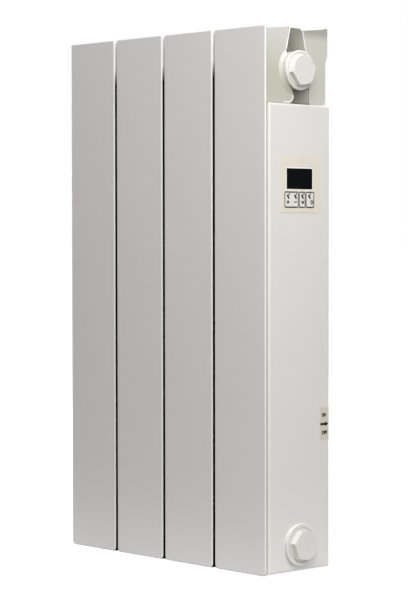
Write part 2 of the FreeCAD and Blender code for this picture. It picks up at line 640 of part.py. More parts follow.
def pipe(edges, radius):
    """Round wire along a path of straight runs and arcs."""
    path = Part.Wire(edges)
    start = edges[0].valueAt(edges[0].FirstParameter)
    along = edges[0].tangentAt(edges[0].FirstParameter)
    ring = Part.Wire(Part.makeCircle(radius, start, along))
    return path.makePipeShell([ring], True, False)


def line(a, b):
    return Part.LineSegment(a, b).toShape()


def arc(a, middle, b):
    return Part.Arc(a, middle, b).toShape()


def heating_coil(centre):
    """Outer form of the wound wire: up one leg, over the stack and down the other, on the bus leads."""
    foot = HUB_HEIGHT + LEAD_RADIUS
    top = STACK_TOP + COIL_TOP_RISE
    front = HUB_SETBACK - COIL_RING
    rear = HUB_SETBACK + COIL_RING
    return pipe([
        line(V(centre, front, foot), V(centre, front, top)),
        arc(V(centre, front, top), V(centre, HUB_SETBACK, top + COIL_RING), V(centre, rear, top)),
        line(V(centre, rear, top), V(centre, rear, foot)),
    ], COIL_RADIUS)


def heater_lead(side):
    """Bus lead through the lower hubs, up through the bush to the terminal block."""
    y = HUB_SETBACK + side * COIL_RING
    slant = LEAD_BEND * math.sqrt(0.5)
    turn_start = V(LEAD_X - LEAD_BEND, y, HUB_HEIGHT)
    turn_middle = V(LEAD_X - LEAD_BEND + slant, y, HUB_HEIGHT + LEAD_BEND - slant)
    turn_end = V(LEAD_X, y, HUB_HEIGHT + LEAD_BEND)
    return pipe([
        line(V(CENTRES[0] - LEAD_START, y, HUB_HEIGHT), turn_start),
        arc(turn_start, turn_middle, turn_end),
        line(turn_end, V(LEAD_X, y, BLOCK_HEIGHT)),
    ], LEAD_RADIUS)


def lead_bush():
    """Flanged bush in the last hub with a bore for each lead."""
    top = BUSH_SEAT + BUSH_FLANGE
    bush = fuse([
        rod_z(BUSH_RADIUS, LEAD_X, HUB_SETBACK, (HUB_HEIGHT + HUB_BORE_RADIUS, top)),
        rod_z(BUSH_FLANGE_RADIUS, LEAD_X, HUB_SETBACK, (BUSH_SEAT, top)),
    ])
    for side in (-1, 1):
        y = HUB_SETBACK + side * COIL_RING
        bush = bush.cut(rod_z(LEAD_RADIUS + BUSH_CLEARANCE, LEAD_X, y, (HUB_HEIGHT, top)))
    return bush


def cover_form(grow):
    """Outside of the side cover as a solid, grown by a film's thickness."""
    form = block(
        (COVER_EDGE, COVER_FACE + grow),
        (COVER_FRONT - grow, COVER_REAR + grow),
        (COVER_LIFT - grow, COVER_TOP + grow),
    )
    return form.makeFillet(COVER_BEND + grow, edges_at(form, "X", COVER_FACE + grow))


def key_limits(names):
    """Front and rear limit of a group of neighbouring keys."""
    members = [key for key in KEYS if key[0] in names]
    return (members[0][1] - members[0][2] / 2, members[-1][1] + members[-1][2] / 2)


def panel_cuts(x):
    """Openings for the window and the key groups, between two limits along X."""
    window_top = OVERLAY_TOP - WINDOW_DROP + WINDOW_CLEARANCE
    window_foot = OVERLAY_TOP - WINDOW_DROP - WINDOW_HEIGHT - WINDOW_CLEARANCE
    cuts = [block(x, around(WINDOW_CENTRE, WINDOW_WIDTH + 2 * WINDOW_CLEARANCE), (window_foot, window_top))]
    for names in KEY_GROUPS:
        front, rear = key_limits(names)
        width = (front - KEY_CLEARANCE, rear + KEY_CLEARANCE)
        hole = block(x, width, around(KEY_ROW, KEY_HEIGHT + 2 * KEY_CLEARANCE))
        cuts.append(round_corners(hole, V(1, 0, 0), KEY_CORNER + KEY_CLEARANCE))
    return cuts


def side_cover():
    """Bent sheet cover: the end face with a front hem, a wide rear return and two end returns."""
    hollow = block(
        (COVER_EDGE - THROUGH, HALF_BLOCK),
        (COVER_FRONT + COVER_SHEET, COVER_REAR_INSIDE),
        (COVER_LIFT + COVER_SHEET, COVER_TOP - COVER_SHEET),
    )
    hollow = hollow.makeFillet(COVER_BEND - COVER_SHEET, edges_at(hollow, "X", HALF_BLOCK))
    tall = (COVER_LIFT - THROUGH, COVER_TOP + THROUGH)
    through_face = (HALF_BLOCK - THROUGH, COVER_FACE + THROUGH)
    through_rear = (COVER_REAR_INSIDE - THROUGH, COVER_REAR + THROUGH)
    cuts = [
        hollow,
        block((COVER_EDGE - THROUGH, HALF_BLOCK - COVER_END_RETURN), (0, COVER_REAR_INSIDE), tall),
        rod_x(HUB_BORE_RADIUS + COVER_PLUG_HOLE_CLEARANCE, through_face, HUB_SETBACK, HUB_HEIGHT),
        block(
            around(SWITCH_AXIS, SWITCH_BODY[0] + 2 * SWITCH_CLEARANCE),
            through_rear,
            around(SWITCH_HEIGHT, SWITCH_BODY[2] + 2 * SWITCH_CLEARANCE),
        ),
        rod_y(INLET_NECK_RADIUS + INLET_NECK_CLEARANCE, SWITCH_AXIS, through_rear, INLET_HEIGHT),
    ]
    cuts += panel_cuts(through_face)
    for height in SCREW_HEIGHTS:
        cuts.append(rod_y(SCREW_HOLE_RADIUS, COVER_EDGE + SCREW_FROM_EDGE, through_rear, height))
    return cover_form(0).cut(Part.makeCompound(cuts))


def cover_screw(height):
    """Pan-head screw through the rear return into the rear wall."""
    place = COVER_EDGE + SCREW_FROM_EDGE
    head = rod_y(SCREW_HEAD_RADIUS, place, (COVER_REAR, COVER_REAR + SCREW_HEAD), height)
    head = head.makeFillet(SCREW_HEAD_ROUND, edges_at(head, "Y", COVER_REAR + SCREW_HEAD))
    return fuse([head, rod_y(SCREW_RADIUS, place, (COVER_REAR - SCREW_LENGTH, COVER_REAR), height)])


def control_overlay():
    """Printed film round the window and the keys."""
    film = block(
        (COVER_FACE, OVERLAY_FACE),
        around(PANEL_CENTRE, OVERLAY_WIDTH),
        (OVERLAY_TOP - OVERLAY_HEIGHT, OVERLAY_TOP),
    )
    film = round_corners(film, V(1, 0, 0), OVERLAY_CORNER)
    return film.cut(Part.makeCompound(panel_cuts((COVER_FACE - THROUGH, OVERLAY_FACE + THROUGH))))


def display_window():
    """Smoked window, flush with the overlay, with a rim behind the cover."""
    top = OVERLAY_TOP - WINDOW_DROP
    foot = top - WINDOW_HEIGHT
    rim_face = HALF_BLOCK - WINDOW_RIM_THICKNESS
    pane = block((rim_face, OVERLAY_FACE), around(WINDOW_CENTRE, WINDOW_WIDTH), (foot, top))
    rim_width = around(WINDOW_CENTRE, WINDOW_WIDTH + 2 * WINDOW_RIM)
    rim = block((rim_face, HALF_BLOCK), rim_width, (foot - WINDOW_RIM, top + WINDOW_RIM))
    return fuse([pane, rim])


def display_module():
    """Digit display on the board behind the window."""
    front = HALF_BLOCK - WINDOW_RIM_THICKNESS - DISPLAY_GAP
    top = OVERLAY_TOP - WINDOW_DROP - DISPLAY_MARGIN
    foot = OVERLAY_TOP - WINDOW_DROP - WINDOW_HEIGHT + DISPLAY_MARGIN
    return block((BOARD_FACE, front), around(WINDOW_CENTRE, WINDOW_WIDTH - 2 * DISPLAY_MARGIN), (foot, top))


def key(centre, width):
    """Key cap with the stem that enters its tact switch."""
    face = OVERLAY_FACE + KEY_RISE
    cap = block((face - KEY_THICKNESS, face), around(centre, width), around(KEY_ROW, KEY_HEIGHT))
    cap = round_corners(cap, V(1, 0, 0), KEY_CORNER)
    cap = cap.makeFillet(KEY_TOP_ROUND, edges_at(cap, "X", face))
    stem_end = BOARD_FACE + TACT_THICKNESS - TACT_WELL + KEY_TRAVEL + TACT_SPARE
    return fuse([cap, rod_x(KEY_STEM_RADIUS, (stem_end, face - KEY_THICKNESS), centre, KEY_ROW)])


def tact_switch(centre):
    """Switch body on the board with the well for a key stem."""
    top = BOARD_FACE + TACT_THICKNESS
    body = block((BOARD_FACE, top), around(centre, TACT_SIZE), around(KEY_ROW, TACT_SIZE))
    well = rod_x(KEY_STEM_RADIUS + KEY_STEM_CLEARANCE, (top - TACT_WELL, top), centre, KEY_ROW)
    return body.cut(well)


def board_corners():
    """Places of the four pillars that carry the board."""
    return [
        (y, z)
        for y in (BOARD_FRONT_EDGE + PILLAR_INSET, BOARD_REAR_EDGE - PILLAR_INSET)
        for z in (BOARD_FOOT + PILLAR_INSET, BOARD_TOP - PILLAR_INSET)
    ]


def control_board():
    """Circuit board with a hole at each pillar."""
    board = block((BOARD_BACK, BOARD_FACE), (BOARD_FRONT_EDGE, BOARD_REAR_EDGE), (BOARD_FOOT, BOARD_TOP))
    holes = [
        rod_x(BOARD_SCREW_RADIUS + BOARD_SCREW_CLEARANCE, (BOARD_BACK, BOARD_FACE), y, z)
        for y, z in board_corners()
    ]
    return board.cut(Part.makeCompound(holes))


def board_pillar(y, z):
    """Tapped pillar on the inside of the cover."""
    pillar = rod_x(PILLAR_RADIUS, (BOARD_FACE, HALF_BLOCK), y, z)
    depth = BOARD_SCREW_LENGTH - BOARD_THICKNESS
    return pillar.cut(
        rod_x(BOARD_SCREW_RADIUS + FIT_CLEARANCE, (BOARD_FACE, BOARD_FACE + depth), y, z)
    )


def board_screw(y, z):
    """Screw through the board into its pillar."""
    return fuse([
        rod_x(BOARD_SCREW_HEAD_RADIUS, (BOARD_BACK - BOARD_SCREW_HEAD, BOARD_BACK), y, z),
        rod_x(BOARD_SCREW_RADIUS, (BOARD_BACK, BOARD_BACK + BOARD_SCREW_LENGTH), y, z),
    ])


def on_board_back(size, front, top):
    """A component box on the inner side of the board."""
    return block((BOARD_BACK - size[0], BOARD_BACK), (front, front + size[1]), (top - size[2], top))


def relay():
    return on_board_back(RELAY_SIZE, BOARD_FRONT_EDGE + RELAY_INSET[0], BOARD_TOP - RELAY_INSET[1])


def transformer():
    front = BOARD_REAR_EDGE - TRANSFORMER_INSET[0] - TRANSFORMER_SIZE[1]
    return on_board_back(TRANSFORMER_SIZE, front, BOARD_TOP - TRANSFORMER_INSET[1])


def board_connector():
    """Connector on the cover side of the board, over its lower edge."""
    foot = BOARD_FOOT + CONNECTOR_INSET
    depth = (BOARD_FACE, BOARD_FACE + CONNECTOR_SIZE[0])
    return block(depth, around(HUB_SETBACK, CONNECTOR_SIZE[1]), (foot, foot + CONNECTOR_SIZE[2]))


def shield_face():
    """Cover side of the heat shield."""
    return BOARD_BACK - SHIELD_STANDOFF


def shield_middle():
    """Height of the heat shield's middle."""
    return (BOARD_FOOT + BOARD_TOP) / 2


def heat_shield():
    """Mica plate between the heater tube and the board."""
    x = (shield_face() - SHIELD_THICKNESS, shield_face())
    return block(x, around(HUB_SETBACK, SHIELD_WIDTH), around(shield_middle(), SHIELD_HEIGHT))


def shield_pillars():
    """Distance pieces between the board and the heat shield."""
    across = SHIELD_WIDTH - 2 * SHIELD_PILLAR_INSET
    up = SHIELD_HEIGHT - 2 * SHIELD_PILLAR_INSET
    return [
        rod_x(SHIELD_PILLAR_RADIUS, (shield_face(), BOARD_BACK), y, z)
        for y in around(HUB_SETBACK, across)
        for z in around(shield_middle(), up)
    ]


def switch_housing():
    """Switch body in the rear return, with a bezel, a well and the pivot holes."""
    bezel = block(
        around(SWITCH_AXIS, SWITCH_BEZEL[0]),
        (COVER_REAR, COVER_REAR + SWITCH_BEZEL[1]),
        around(SWITCH_HEIGHT, SWITCH_BEZEL[2]),
    )
    body = block(
        around(SWITCH_AXIS, SWITCH_BODY[0]),
        (SWITCH_BACK, COVER_REAR),
        around(SWITCH_HEIGHT, SWITCH_BODY[2]),
    )
    well_top = COVER_REAR + SWITCH_BEZEL[1]
    well = block(
        around(SWITCH_AXIS, SWITCH_WELL[0]),
        (well_top - SWITCH_WELL_DEPTH, well_top),
        around(SWITCH_HEIGHT, SWITCH_WELL[1]),
    )
    pin_hole = rod_x(
        ROCKER_PIN_RADIUS + FIT_CLEARANCE, around(SWITCH_AXIS, SWITCH_BODY[0]), ROCKER_PIVOT, SWITCH_HEIGHT
    )
    return fuse([bezel, body]).cut(Part.makeCompound([well, pin_hole]))


def switch_rocker():
    """Rocker with round ends and a hollowed face, resting at OFF with its upper end raised."""
    def on_end(angle):
        turn = math.radians(angle)
        return V(0, ROCKER_REACH * math.sin(turn), ROCKER_REACH * math.cos(turn))

    def below(point):
        return V(0, point.y, -point.z)

    crest = on_end(ROCKER_CREST_ANGLE)
    side = on_end((ROCKER_CREST_ANGLE - ROCKER_SKIRT_ANGLE) / 2)
    skirt = on_end(-ROCKER_SKIRT_ANGLE)
    valley = V(0, ROCKER_VALLEY, 0)
    keel = V(0, -ROCKER_KEEL, ROCKER_KEEL_WIDTH / 2)
    outline = Part.Wire([
        line(valley, crest),
        arc(crest, side, skirt),
        line(skirt, keel),
        line(keel, below(keel)),
        line(below(keel), below(skirt)),
        arc(below(skirt), below(side), below(crest)),
        line(below(crest), valley),
    ])
    body = prism_x(Part.Face(outline), around(0, SWITCH_WELL[0] - 2 * ROCKER_SIDE_CLEARANCE))
    rocker = fuse([body, rod_x(ROCKER_PIN_RADIUS, around(0, SWITCH_BODY[0]), 0, 0)])
    rocker.rotate(V(0, 0, 0), V(1, 0, 0), -ROCKER_TILT)
    return rocker.translated(V(SWITCH_AXIS, ROCKER_PIVOT, SWITCH_HEIGHT))


def tab_places():
    """Places across the switch of its two terminal tabs."""
    return around(SWITCH_AXIS, TAB_SPACING)


def switch_tab(place):
    """Blade terminal on the back of the switch."""
    x = around(place, TAB_SIZE[2])
    return block(x, (SWITCH_BACK - TAB_SIZE[1], SWITCH_BACK), around(SWITCH_HEIGHT, TAB_SIZE[0]))


def switch_lead(place):
    """Lead from a terminal tab forward and down to the terminal block."""
    start = SWITCH_BACK - TAB_SIZE[1]
    slant = LEAD_BEND * math.sqrt(0.5)
    turn_start = V(place, HUB_SETBACK + LEAD_BEND, SWITCH_HEIGHT)
    turn_middle = V(place, HUB_SETBACK + LEAD_BEND - slant, SWITCH_HEIGHT - LEAD_BEND + slant)
    turn_end = V(place, HUB_SETBACK, SWITCH_HEIGHT - LEAD_BEND)
    return pipe([
        line(V(place, start, SWITCH_HEIGHT), turn_start),
        arc(turn_start, turn_middle, turn_end),
        line(turn_end, V(place, HUB_SETBACK, BLOCK_TOP)),
    ], LEAD_RADIUS)


def switch_sticker():
    """Film beside the switch that wraps round the cover's rear bend."""
    rear_flat = COVER_REAR - COVER_BEND
    region = block(
        (COVER_FACE - STICKER_WRAP, COVER_FACE + STICKER_FILM),
        (rear_flat - STICKER_WIDTH, COVER_REAR + STICKER_FILM),
        around(SWITCH_HEIGHT, STICKER_HEIGHT),
    )
    return cover_form(STICKER_FILM).common(region).cut(cover_form(0))


def cable_inlet_bush():
    """Bush for the mains cable in the rear return."""
    outer = COVER_REAR + INLET_FLANGE
    inner = COVER_REAR_INSIDE - INLET_RIM
    bush = fuse([
        rod_y(INLET_FLANGE_RADIUS, SWITCH_AXIS, (COVER_REAR, outer), INLET_HEIGHT),
        rod_y(INLET_NECK_RADIUS, SWITCH_AXIS, (inner, outer), INLET_HEIGHT),
        rod_y(INLET_RIM_RADIUS, SWITCH_AXIS, (inner, COVER_REAR_INSIDE), INLET_HEIGHT),
    ])
    return bush.cut(rod_y(INLET_BORE_RADIUS, SWITCH_AXIS, (inner, outer), INLET_HEIGHT))


def terminal_block():
    """Terminal block on the inside of the cover over the last hub."""
    x = (HALF_BLOCK - BLOCK_SIZE[0], HALF_BLOCK)
    return block(x, around(HUB_SETBACK, BLOCK_SIZE[1]), (BLOCK_HEIGHT, BLOCK_TOP))


def board_lead(side):
    """Lead from the terminal block straight up to the board's connector."""
    x = BOARD_FACE + CONNECTOR_SIZE[0] / 2
    y = HUB_SETBACK + side * CONNECTOR_SIZE[1] / 4
    return rod_z(LEAD_RADIUS, x, y, (BLOCK_TOP, BOARD_FOOT + CONNECTOR_INSET))


def temperature_sensor():
    """Room sensor on the cover's lower return."""
    outer = COVER_FACE - SENSOR_INSET[0]
    rear = COVER_REAR - SENSOR_INSET[1]
    foot = COVER_LIFT + COVER_SHEET
    return block(
        (outer - SENSOR_SIZE[0], outer),
        (rear - SENSOR_SIZE[1], rear),
        (foot, foot + SENSOR_SIZE[2]),
    )


def earth_screw():
    """Earth screw on the inside of the end section's rear wall."""
    inside = REAR_FACE - REAR_WALL
    place = COVER_EDGE + SCREW_FROM_EDGE
    return fuse([
        rod_y(EARTH_HEAD_RADIUS, place, (inside - EARTH_HEAD, inside), EARTH_HEIGHT),
        rod_y(EARTH_RADIUS, place, (inside, REAR_FACE), EARTH_HEIGHT),
    ])


def all_pieces():
    """Every node's name with its solids."""
    nodes = {}
    middle_section = section(False)
    for number, centre in enumerate(CENTRES, 1):
        casting = section(True) if centre == END_CENTRE else middle_section
        nodes[f"section_{number}"] = [casting.translated(V(centre, 0, 0))]
        nodes[f"heater_bobbins_{number}"] = bobbins(centre)
        nodes[f"heating_coil_{number}"] = [heating_coil(centre)]
    nodes["heater_rods"] = [heater_rod(centre) for centre in CENTRES]
    nodes["core_caps"] = [core_cap(centre) for centre in CENTRES]
    nodes["upper_nipples"] = nipples(UPPER_HUB)
    nodes["lower_nipples"] = nipples(HUB_HEIGHT)
    nodes["joint_gaskets"] = joint_gaskets()

    nodes["plug_upper_right"] = [on_right(plug(UPPER_PLUG, UPPER_PLUG_TURN), HALF_BLOCK, UPPER_HUB)]
    nodes["plug_lower_right"] = [on_right(plug(LOWER_PLUG, LOWER_PLUG_TURN), COVER_FACE, HUB_HEIGHT)]
    nodes["plug_upper_left"] = [on_left(plug(UPPER_PLUG, 0), UPPER_HUB)]
    nodes["plug_lower_left"] = [on_left(plug(LOWER_PLUG, 0), HUB_HEIGHT)]
    nodes["plug_seals"] = [
        on_right(plug_seal(UPPER_PLUG), HALF_BLOCK, UPPER_HUB),
        on_right(plug_seal(LOWER_PLUG), COVER_FACE, HUB_HEIGHT),
        on_left(plug_seal(UPPER_PLUG), UPPER_HUB),
        on_left(plug_seal(LOWER_PLUG), HUB_HEIGHT),
    ]

    nodes["side_cover"] = [side_cover()]
    nodes["cover_screws"] = [cover_screw(height) for height in SCREW_HEIGHTS]
    nodes["control_overlay"] = [control_overlay()]
    nodes["display_window"] = [display_window()]
    nodes["display_module"] = [display_module()]
    for name, centre, width in KEYS:
        nodes[f"key_{name}"] = [key(centre, width)]
    nodes["tact_switches"] = [tact_switch(centre) for _, centre, _ in KEYS]

    nodes["control_board"] = [control_board()]
    nodes["board_pillars"] = [board_pillar(y, z) for y, z in board_corners()]
    nodes["board_screws"] = [board_screw(y, z) for y, z in board_corners()]
    nodes["relay"] = [relay()]
    nodes["transformer"] = [transformer()]
    nodes["board_connector"] = [board_connector()]
    nodes["board_leads"] = [board_lead(side) for side in (-1, 1)]
    nodes["heat_shield"] = [heat_shield()]
    nodes["shield_pillars"] = shield_pillars()

    nodes["switch_housing"] = [switch_housing()]
    nodes["switch_rocker"] = [switch_rocker()]
    nodes["switch_tabs"] = [switch_tab(place) for place in tab_places()]
    nodes["switch_leads"] = [switch_lead(place) for place in tab_places()]
    nodes["switch_sticker"] = [switch_sticker()]
    nodes["cable_inlet_bush"] = [cable_inlet_bush()]
    nodes["terminal_block"] = [terminal_block()]
    nodes["heater_leads"] = [heater_lead(side) for side in (-1, 1)]
    nodes["lead_bush"] = [lead_bush()]
    nodes["temperature_sensor"] = [temperature_sensor()]
    nodes["earth_screw"] = [earth_screw()]
    return nodes


os.makedirs("parts", exist_ok=True)
for node, solids in all_pieces().items():
    shape = solids[0] if len(solids) == 1 else Part.makeCompound(solids)
    shape.translated(ORIGIN_SHIFT).exportStep(f"parts/{node}.step")
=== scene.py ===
import bpy
import bmesh
import math
from functools import reduce
from types import SimpleNamespace
from mathutils import Matrix, Vector
from mathutils.bvhtree import BVHTree


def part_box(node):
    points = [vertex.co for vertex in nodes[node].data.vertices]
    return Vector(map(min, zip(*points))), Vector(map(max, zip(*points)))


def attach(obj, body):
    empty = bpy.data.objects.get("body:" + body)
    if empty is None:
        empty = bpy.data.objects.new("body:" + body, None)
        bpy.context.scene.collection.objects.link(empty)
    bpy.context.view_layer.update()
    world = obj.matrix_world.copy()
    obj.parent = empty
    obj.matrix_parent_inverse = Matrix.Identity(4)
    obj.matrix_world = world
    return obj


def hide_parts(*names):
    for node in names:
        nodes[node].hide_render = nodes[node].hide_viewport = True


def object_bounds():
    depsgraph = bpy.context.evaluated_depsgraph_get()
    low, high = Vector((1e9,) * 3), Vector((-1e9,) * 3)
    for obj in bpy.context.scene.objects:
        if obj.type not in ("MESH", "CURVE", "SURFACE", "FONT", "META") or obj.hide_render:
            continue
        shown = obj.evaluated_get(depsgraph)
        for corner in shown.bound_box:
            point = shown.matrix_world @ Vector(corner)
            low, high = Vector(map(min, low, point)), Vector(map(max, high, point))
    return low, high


# White sectional electric radiator, dressed for a studio picture.
# Metres, Z up, the front plates face -Y and the control end is at +X.

MM = 0.001

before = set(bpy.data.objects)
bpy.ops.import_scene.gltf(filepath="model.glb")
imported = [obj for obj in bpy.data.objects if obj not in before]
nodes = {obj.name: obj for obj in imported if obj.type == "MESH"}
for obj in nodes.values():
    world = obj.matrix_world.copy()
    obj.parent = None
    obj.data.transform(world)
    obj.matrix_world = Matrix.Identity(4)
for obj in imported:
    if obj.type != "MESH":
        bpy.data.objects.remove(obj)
cad_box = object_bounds()

# Camera, fitted to the plates' edges: place from the middle of the block's front on the floor,
# angles in degrees, lens and sensor in millimetres
CAMERA_FROM_BLOCK = (1.70511, -1.50850, 0.35924)
CAMERA_YAW = 47.375
CAMERA_PITCH = 1.847
CAMERA_ROLL = -0.075
LENS = 124.645
SENSOR = 36.0
CLIP_END = 200.0

# Colours, linear
CASTING_WHITE = (0.770, 0.738, 0.729)
# white of painted highlights on rims and edges, and of painted light at the gaps' tops
HIGHLIGHT_WHITE = (0.90, 0.89, 0.88)
# painted shade of the end flanks: warm from painted bounce light low down, lighter over the hub, and on
# the rear flanks
FLANK_SHADE_WARM = (0.505, 0.500, 0.415)
FLANK_TOP_SHADE = (0.620, 0.620, 0.570)
REAR_FLANK_SHADE = (0.560, 0.560, 0.500)
REAR_TOP_SHADE = (0.365, 0.365, 0.325)
# olive painted shade down in the end flanks' grooves
GROOVE_SHADE_OLIVE = (0.155, 0.153, 0.116)
# black painted shade deep between the sections
GAP_SHADE_BLACK = (0.012, 0.012, 0.011)
COVER_WHITE = (0.757, 0.734, 0.707)
PLUG_WHITE = (0.715, 0.703, 0.680)
# painted light on the plugs' upper faces, and warm painted shade under them
PLUG_LIT_WHITE = (0.840, 0.825, 0.790)
PLUG_SHADE_WARM = (0.680, 0.665, 0.585)
FILM_BEIGE = (0.772, 0.722, 0.612)
STICKER_BEIGE = (0.665, 0.625, 0.505)
KEY_WHITE = (0.80, 0.775, 0.72)
INK = (0.024, 0.021, 0.019)
INK_BLACK = (0.006, 0.006, 0.005)
INK_GREY = (0.17, 0.163, 0.152)
INK_WHITE = (0.94, 0.93, 0.91)
WINDOW_BLACK = (0.003, 0.004, 0.004)
PLASTIC_BLACK = (0.018, 0.018, 0.019)
PLASTIC_PALE = (0.70, 0.68, 0.62)
RUBBER_PALE = (0.80, 0.79, 0.765)
RUBBER_DARK = (0.03, 0.03, 0.031)
STEATITE_CREAM = (0.72, 0.66, 0.55)
BOARD_GREEN = (0.02, 0.12, 0.045)
LEAD_GREY = (0.45, 0.42, 0.38)
MICA_BROWN = (0.36, 0.28, 0.17)
STEEL_GREY = (0.56, 0.55, 0.54)
WIRE_GREY = (0.30, 0.28, 0.27)
FLOOR_GREY = (0.24, 0.24, 0.24)
SOFT_LIGHT = (1.0, 0.99, 0.975)

# Grain of paint, film and plastic
NOISE_RANGE = (0.3, 0.7)  # where most of a noise lies
DRIFT_SCALE = 14.0  # slow colour drift, features per metre
DRIFT_DETAIL = 2.0
GLOSS_SPAN = 6  # grains to one patch of gloss
GLOSS_SPREAD = 0.12
GRAIN_STRENGTH = 0.25
COAT_ROUGHNESS = 0.15

# Lines of drawn and turned metal
BRUSH_SCALE = 2600.0  # lines per metre
BRUSH_DETAIL = 2.0
BRUSH_STRETCH = (1.0, 1.0, 0.06)
BRUSH_SPREAD = 0.2
BRUSH_DRIFT = 0.08
BRUSH_STRENGTH = 0.15
BRUSH_RELIEF = 0.02 * MM

# Edges that stay sharp in the shading
SHARP_ANGLE = math.radians(25)
FACET_ANGLE = math.radians(12)  # on the plugs' hexagons, whose cut corners are fine

# Paint of the castings, with its painted highlights and painted shade: each pair says where a finish
# starts and where it is full
EDGE_DEPTH = 1.2 * MM  # front part of the plates' edges, white as a painted highlight; behind it the gaps' painted shade can start
EDGE_FADE = 0.3 * MM
RIM_HEIGHT = 3.2 * MM  # painted highlight on the plates' upper rim
RIM_SIDEWAYS = (0.6, 0.95)  # sideways and upward parts of the normal on the plates' rims, painted as highlights
RIM_UPWARD = (0.05, 0.45)
FLANK_INSET = 2.4 * MM  # flank's face inside the hub's face
FLANK_DRIFT = 0.03
FLANK_SIDEWAYS = (0.70, 0.78)  # sideways and upward parts of the normal on the sections' sides
FLANK_UPWARD = (0.4, 0.2)
END_DEPTH = (14 * MM, 12 * MM)  # end flanks, under their face
TOP_SHADE_FADE = (0.0, 40 * MM)  # lighter painted shade on the flanks, over the upper hub's axis
REAR_FLANK_SPAN = (-12 * MM, 4 * MM)  # rear flanks' own painted shade, behind the upper hub's axis
REAR_SHADE = (14 * MM, 6 * MM)  # deeper painted shade, under the rear flanks' top
EDGE_RISE = (0.0, 4 * MM)  # painted highlights on the edges, over the upper hub's axis
EDGE_BACK = (5 * MM, 6 * MM)  # painted highlights on the edges, before the back
GROOVE_EDGE = (0.3 * MM, 0.6 * MM)  # painted olive shade in the grooves, under the end flanks' face
GROOVE_DEPTH = 6.5 * MM
GROOVE_START = 0.5  # share of painted shade just inside the groove

# Painted black shade between the sections: where it stops, by how open a point lies, as such pairs
AIR_REACH = 30 * MM
AIR_SAMPLES = 12
FREE_AIR = (0.30, 0.50)  # openness behind the gaps
GAP_AIR = (0.55, 0.75)  # openness in the gaps
GAP_DEPTH = (12 * MM, 20 * MM)  # behind the plates' faces, where the gaps end
OPEN_TOP = (52 * MM, 34 * MM)  # under the sections' top, where the gaps get painted light instead of painted shade
OPEN_FOOT = (12 * MM, 16 * MM)  # over the floor

# Painted light on the plugs' upper faces and painted shade under them, by the upward part of the normal,
# as such pairs
PLUG_UPWARD = (0.1, 0.6)
PLUG_DOWNWARD = (-0.1, -0.4)

# Beads on the end flanks, the lips white as painted highlights
LIP_RADIUS = 0.6 * MM
LIP_ROUNDNESS = 3
UPPER_LIP_ENDS = (8.7 * MM, 14.4 * MM)  # before the hub's axis, at its top and its foot
UPPER_LIP_FOOT = 21.5 * MM  # over the hub's axis
LOWER_LIP_EDGE = 4.3 * MM  # before the hub's axis
LOWER_LIP_TOP = 25.6 * MM  # under the hub's axis
LOWER_LIP_CORNER = 6 * MM
LOWER_LIP_RUN = 14 * MM  # along the flank's foot
LOWER_LIP_SLOT = 1.2 * MM  # over the cover
FOOT_SLOT = 0.2 * MM  # between the cover and the beads along the flank's foot
FOOT_FRONT_ENDS = (3 * MM, 5 * MM)  # behind the plate's face, and before the lower lip's edge
FOOT_REAR_ENDS = (20 * MM, 4 * MM)  # behind the hub's axis, and before the back

# Panel print
PRINT_FILM = 0.05 * MM
FRAME_LINE = 1.05 * MM
FRAME_CORNER = 2.0 * MM
KEY_CLEARANCE = 0.3 * MM
WINDOW_RIM = 2.0 * MM  # hidden rim of the window behind the cover
WINDOW_CLEARANCE = 0.2 * MM
WINDOW_LINE = 1.1 * MM
WINDOW_CORNERS = (0.6 * MM, 0.2 * MM)  # outside and inside the line
HAND_RISE = 3.05 * MM
SYMBOL_DROP = 2.45 * MM

# Pressing hand on the keys, in millimetres about the finger's middle
FINGER_ALONG = Vector((0.58, -0.81))
FINGER_BESIDE = Vector((0.81, 0.58))
FINGER_ENDS = (-1.6, 1.5)
FINGER_RADIUS = 1.15
CURLED_FINGERS = 3
CURLED_RADIUS = 0.45
CURLED_PITCH = 1.0
CURLED_OFFSET = 0.75  # of the row from the pressing finger
CURLED_BACK = 1.9  # from the row's line to a curled finger's ends
CURLED_FRONT = 0.2
CURLED_STEP = 0.35  # each one ends further back

# Sticker print
STICKER_BEND = 2.8 * MM  # outer radius of the film round the cover's rear edge
WORD_HEIGHT = 3.5 * MM
WORD_BOLD = 0.35 * MM
CAPITAL_SHARE = 0.7  # of the font's size
ON_WORD = {"stretch": 0.76, "inset": 5.5 * MM, "rise": 9.0 * MM}
OFF_WORD = {"stretch": 0.92, "inset": 6.5 * MM, "rise": -9.9 * MM}
ARROW_HALF = 1.25 * MM
ARROW_DROP = 0.5 * MM
ARROW_ENDS = (0.2 * MM, 1.8 * MM)  # arrow's tail and tip inside the film's ends
HEAD_HALF = 2.6 * MM
HEAD_LENGTH = 5.8 * MM
HEAD_STEPS = 8

# Marks on the switch's rocker
MARK_RISE = 3.4 * MM
BAR_HALF = (0.4 * MM, 1.5 * MM)
RING_RADII = (1.5 * MM, 0.85 * MM)
LOOK_FROM = 1 * MM  # behind the object, where the search for the rocker's face starts

# Cross recess of the cover screws
RECESS_REACH = 1.8 * MM
RECESS_HALF = 0.45 * MM
RECESS_DEPTH = 1.1 * MM
SAME_POINT = 0.001 * MM

# Floor
FLOOR_REACH = 40.0
FLOOR_ROUGHNESS = 0.9
FLOOR_SPECULAR = 0.1
BOUNCE = 0.43  # light from the floor round the object's foot
BOUNCE_REACH = (0.06, 0.10)
SHADOW_DEPTH = 0.35
SHADOW_REACH = (0.3, 1.5)
DARK_FROM_LEFT = (16 * MM, 12 * MM)  # inside the object's box, where the floor's painted shadow is full and where the floor is lit
DARK_FROM_RIGHT = (50 * MM, 40 * MM)
DARK_FROM_FACES = (10 * MM, 4 * MM)

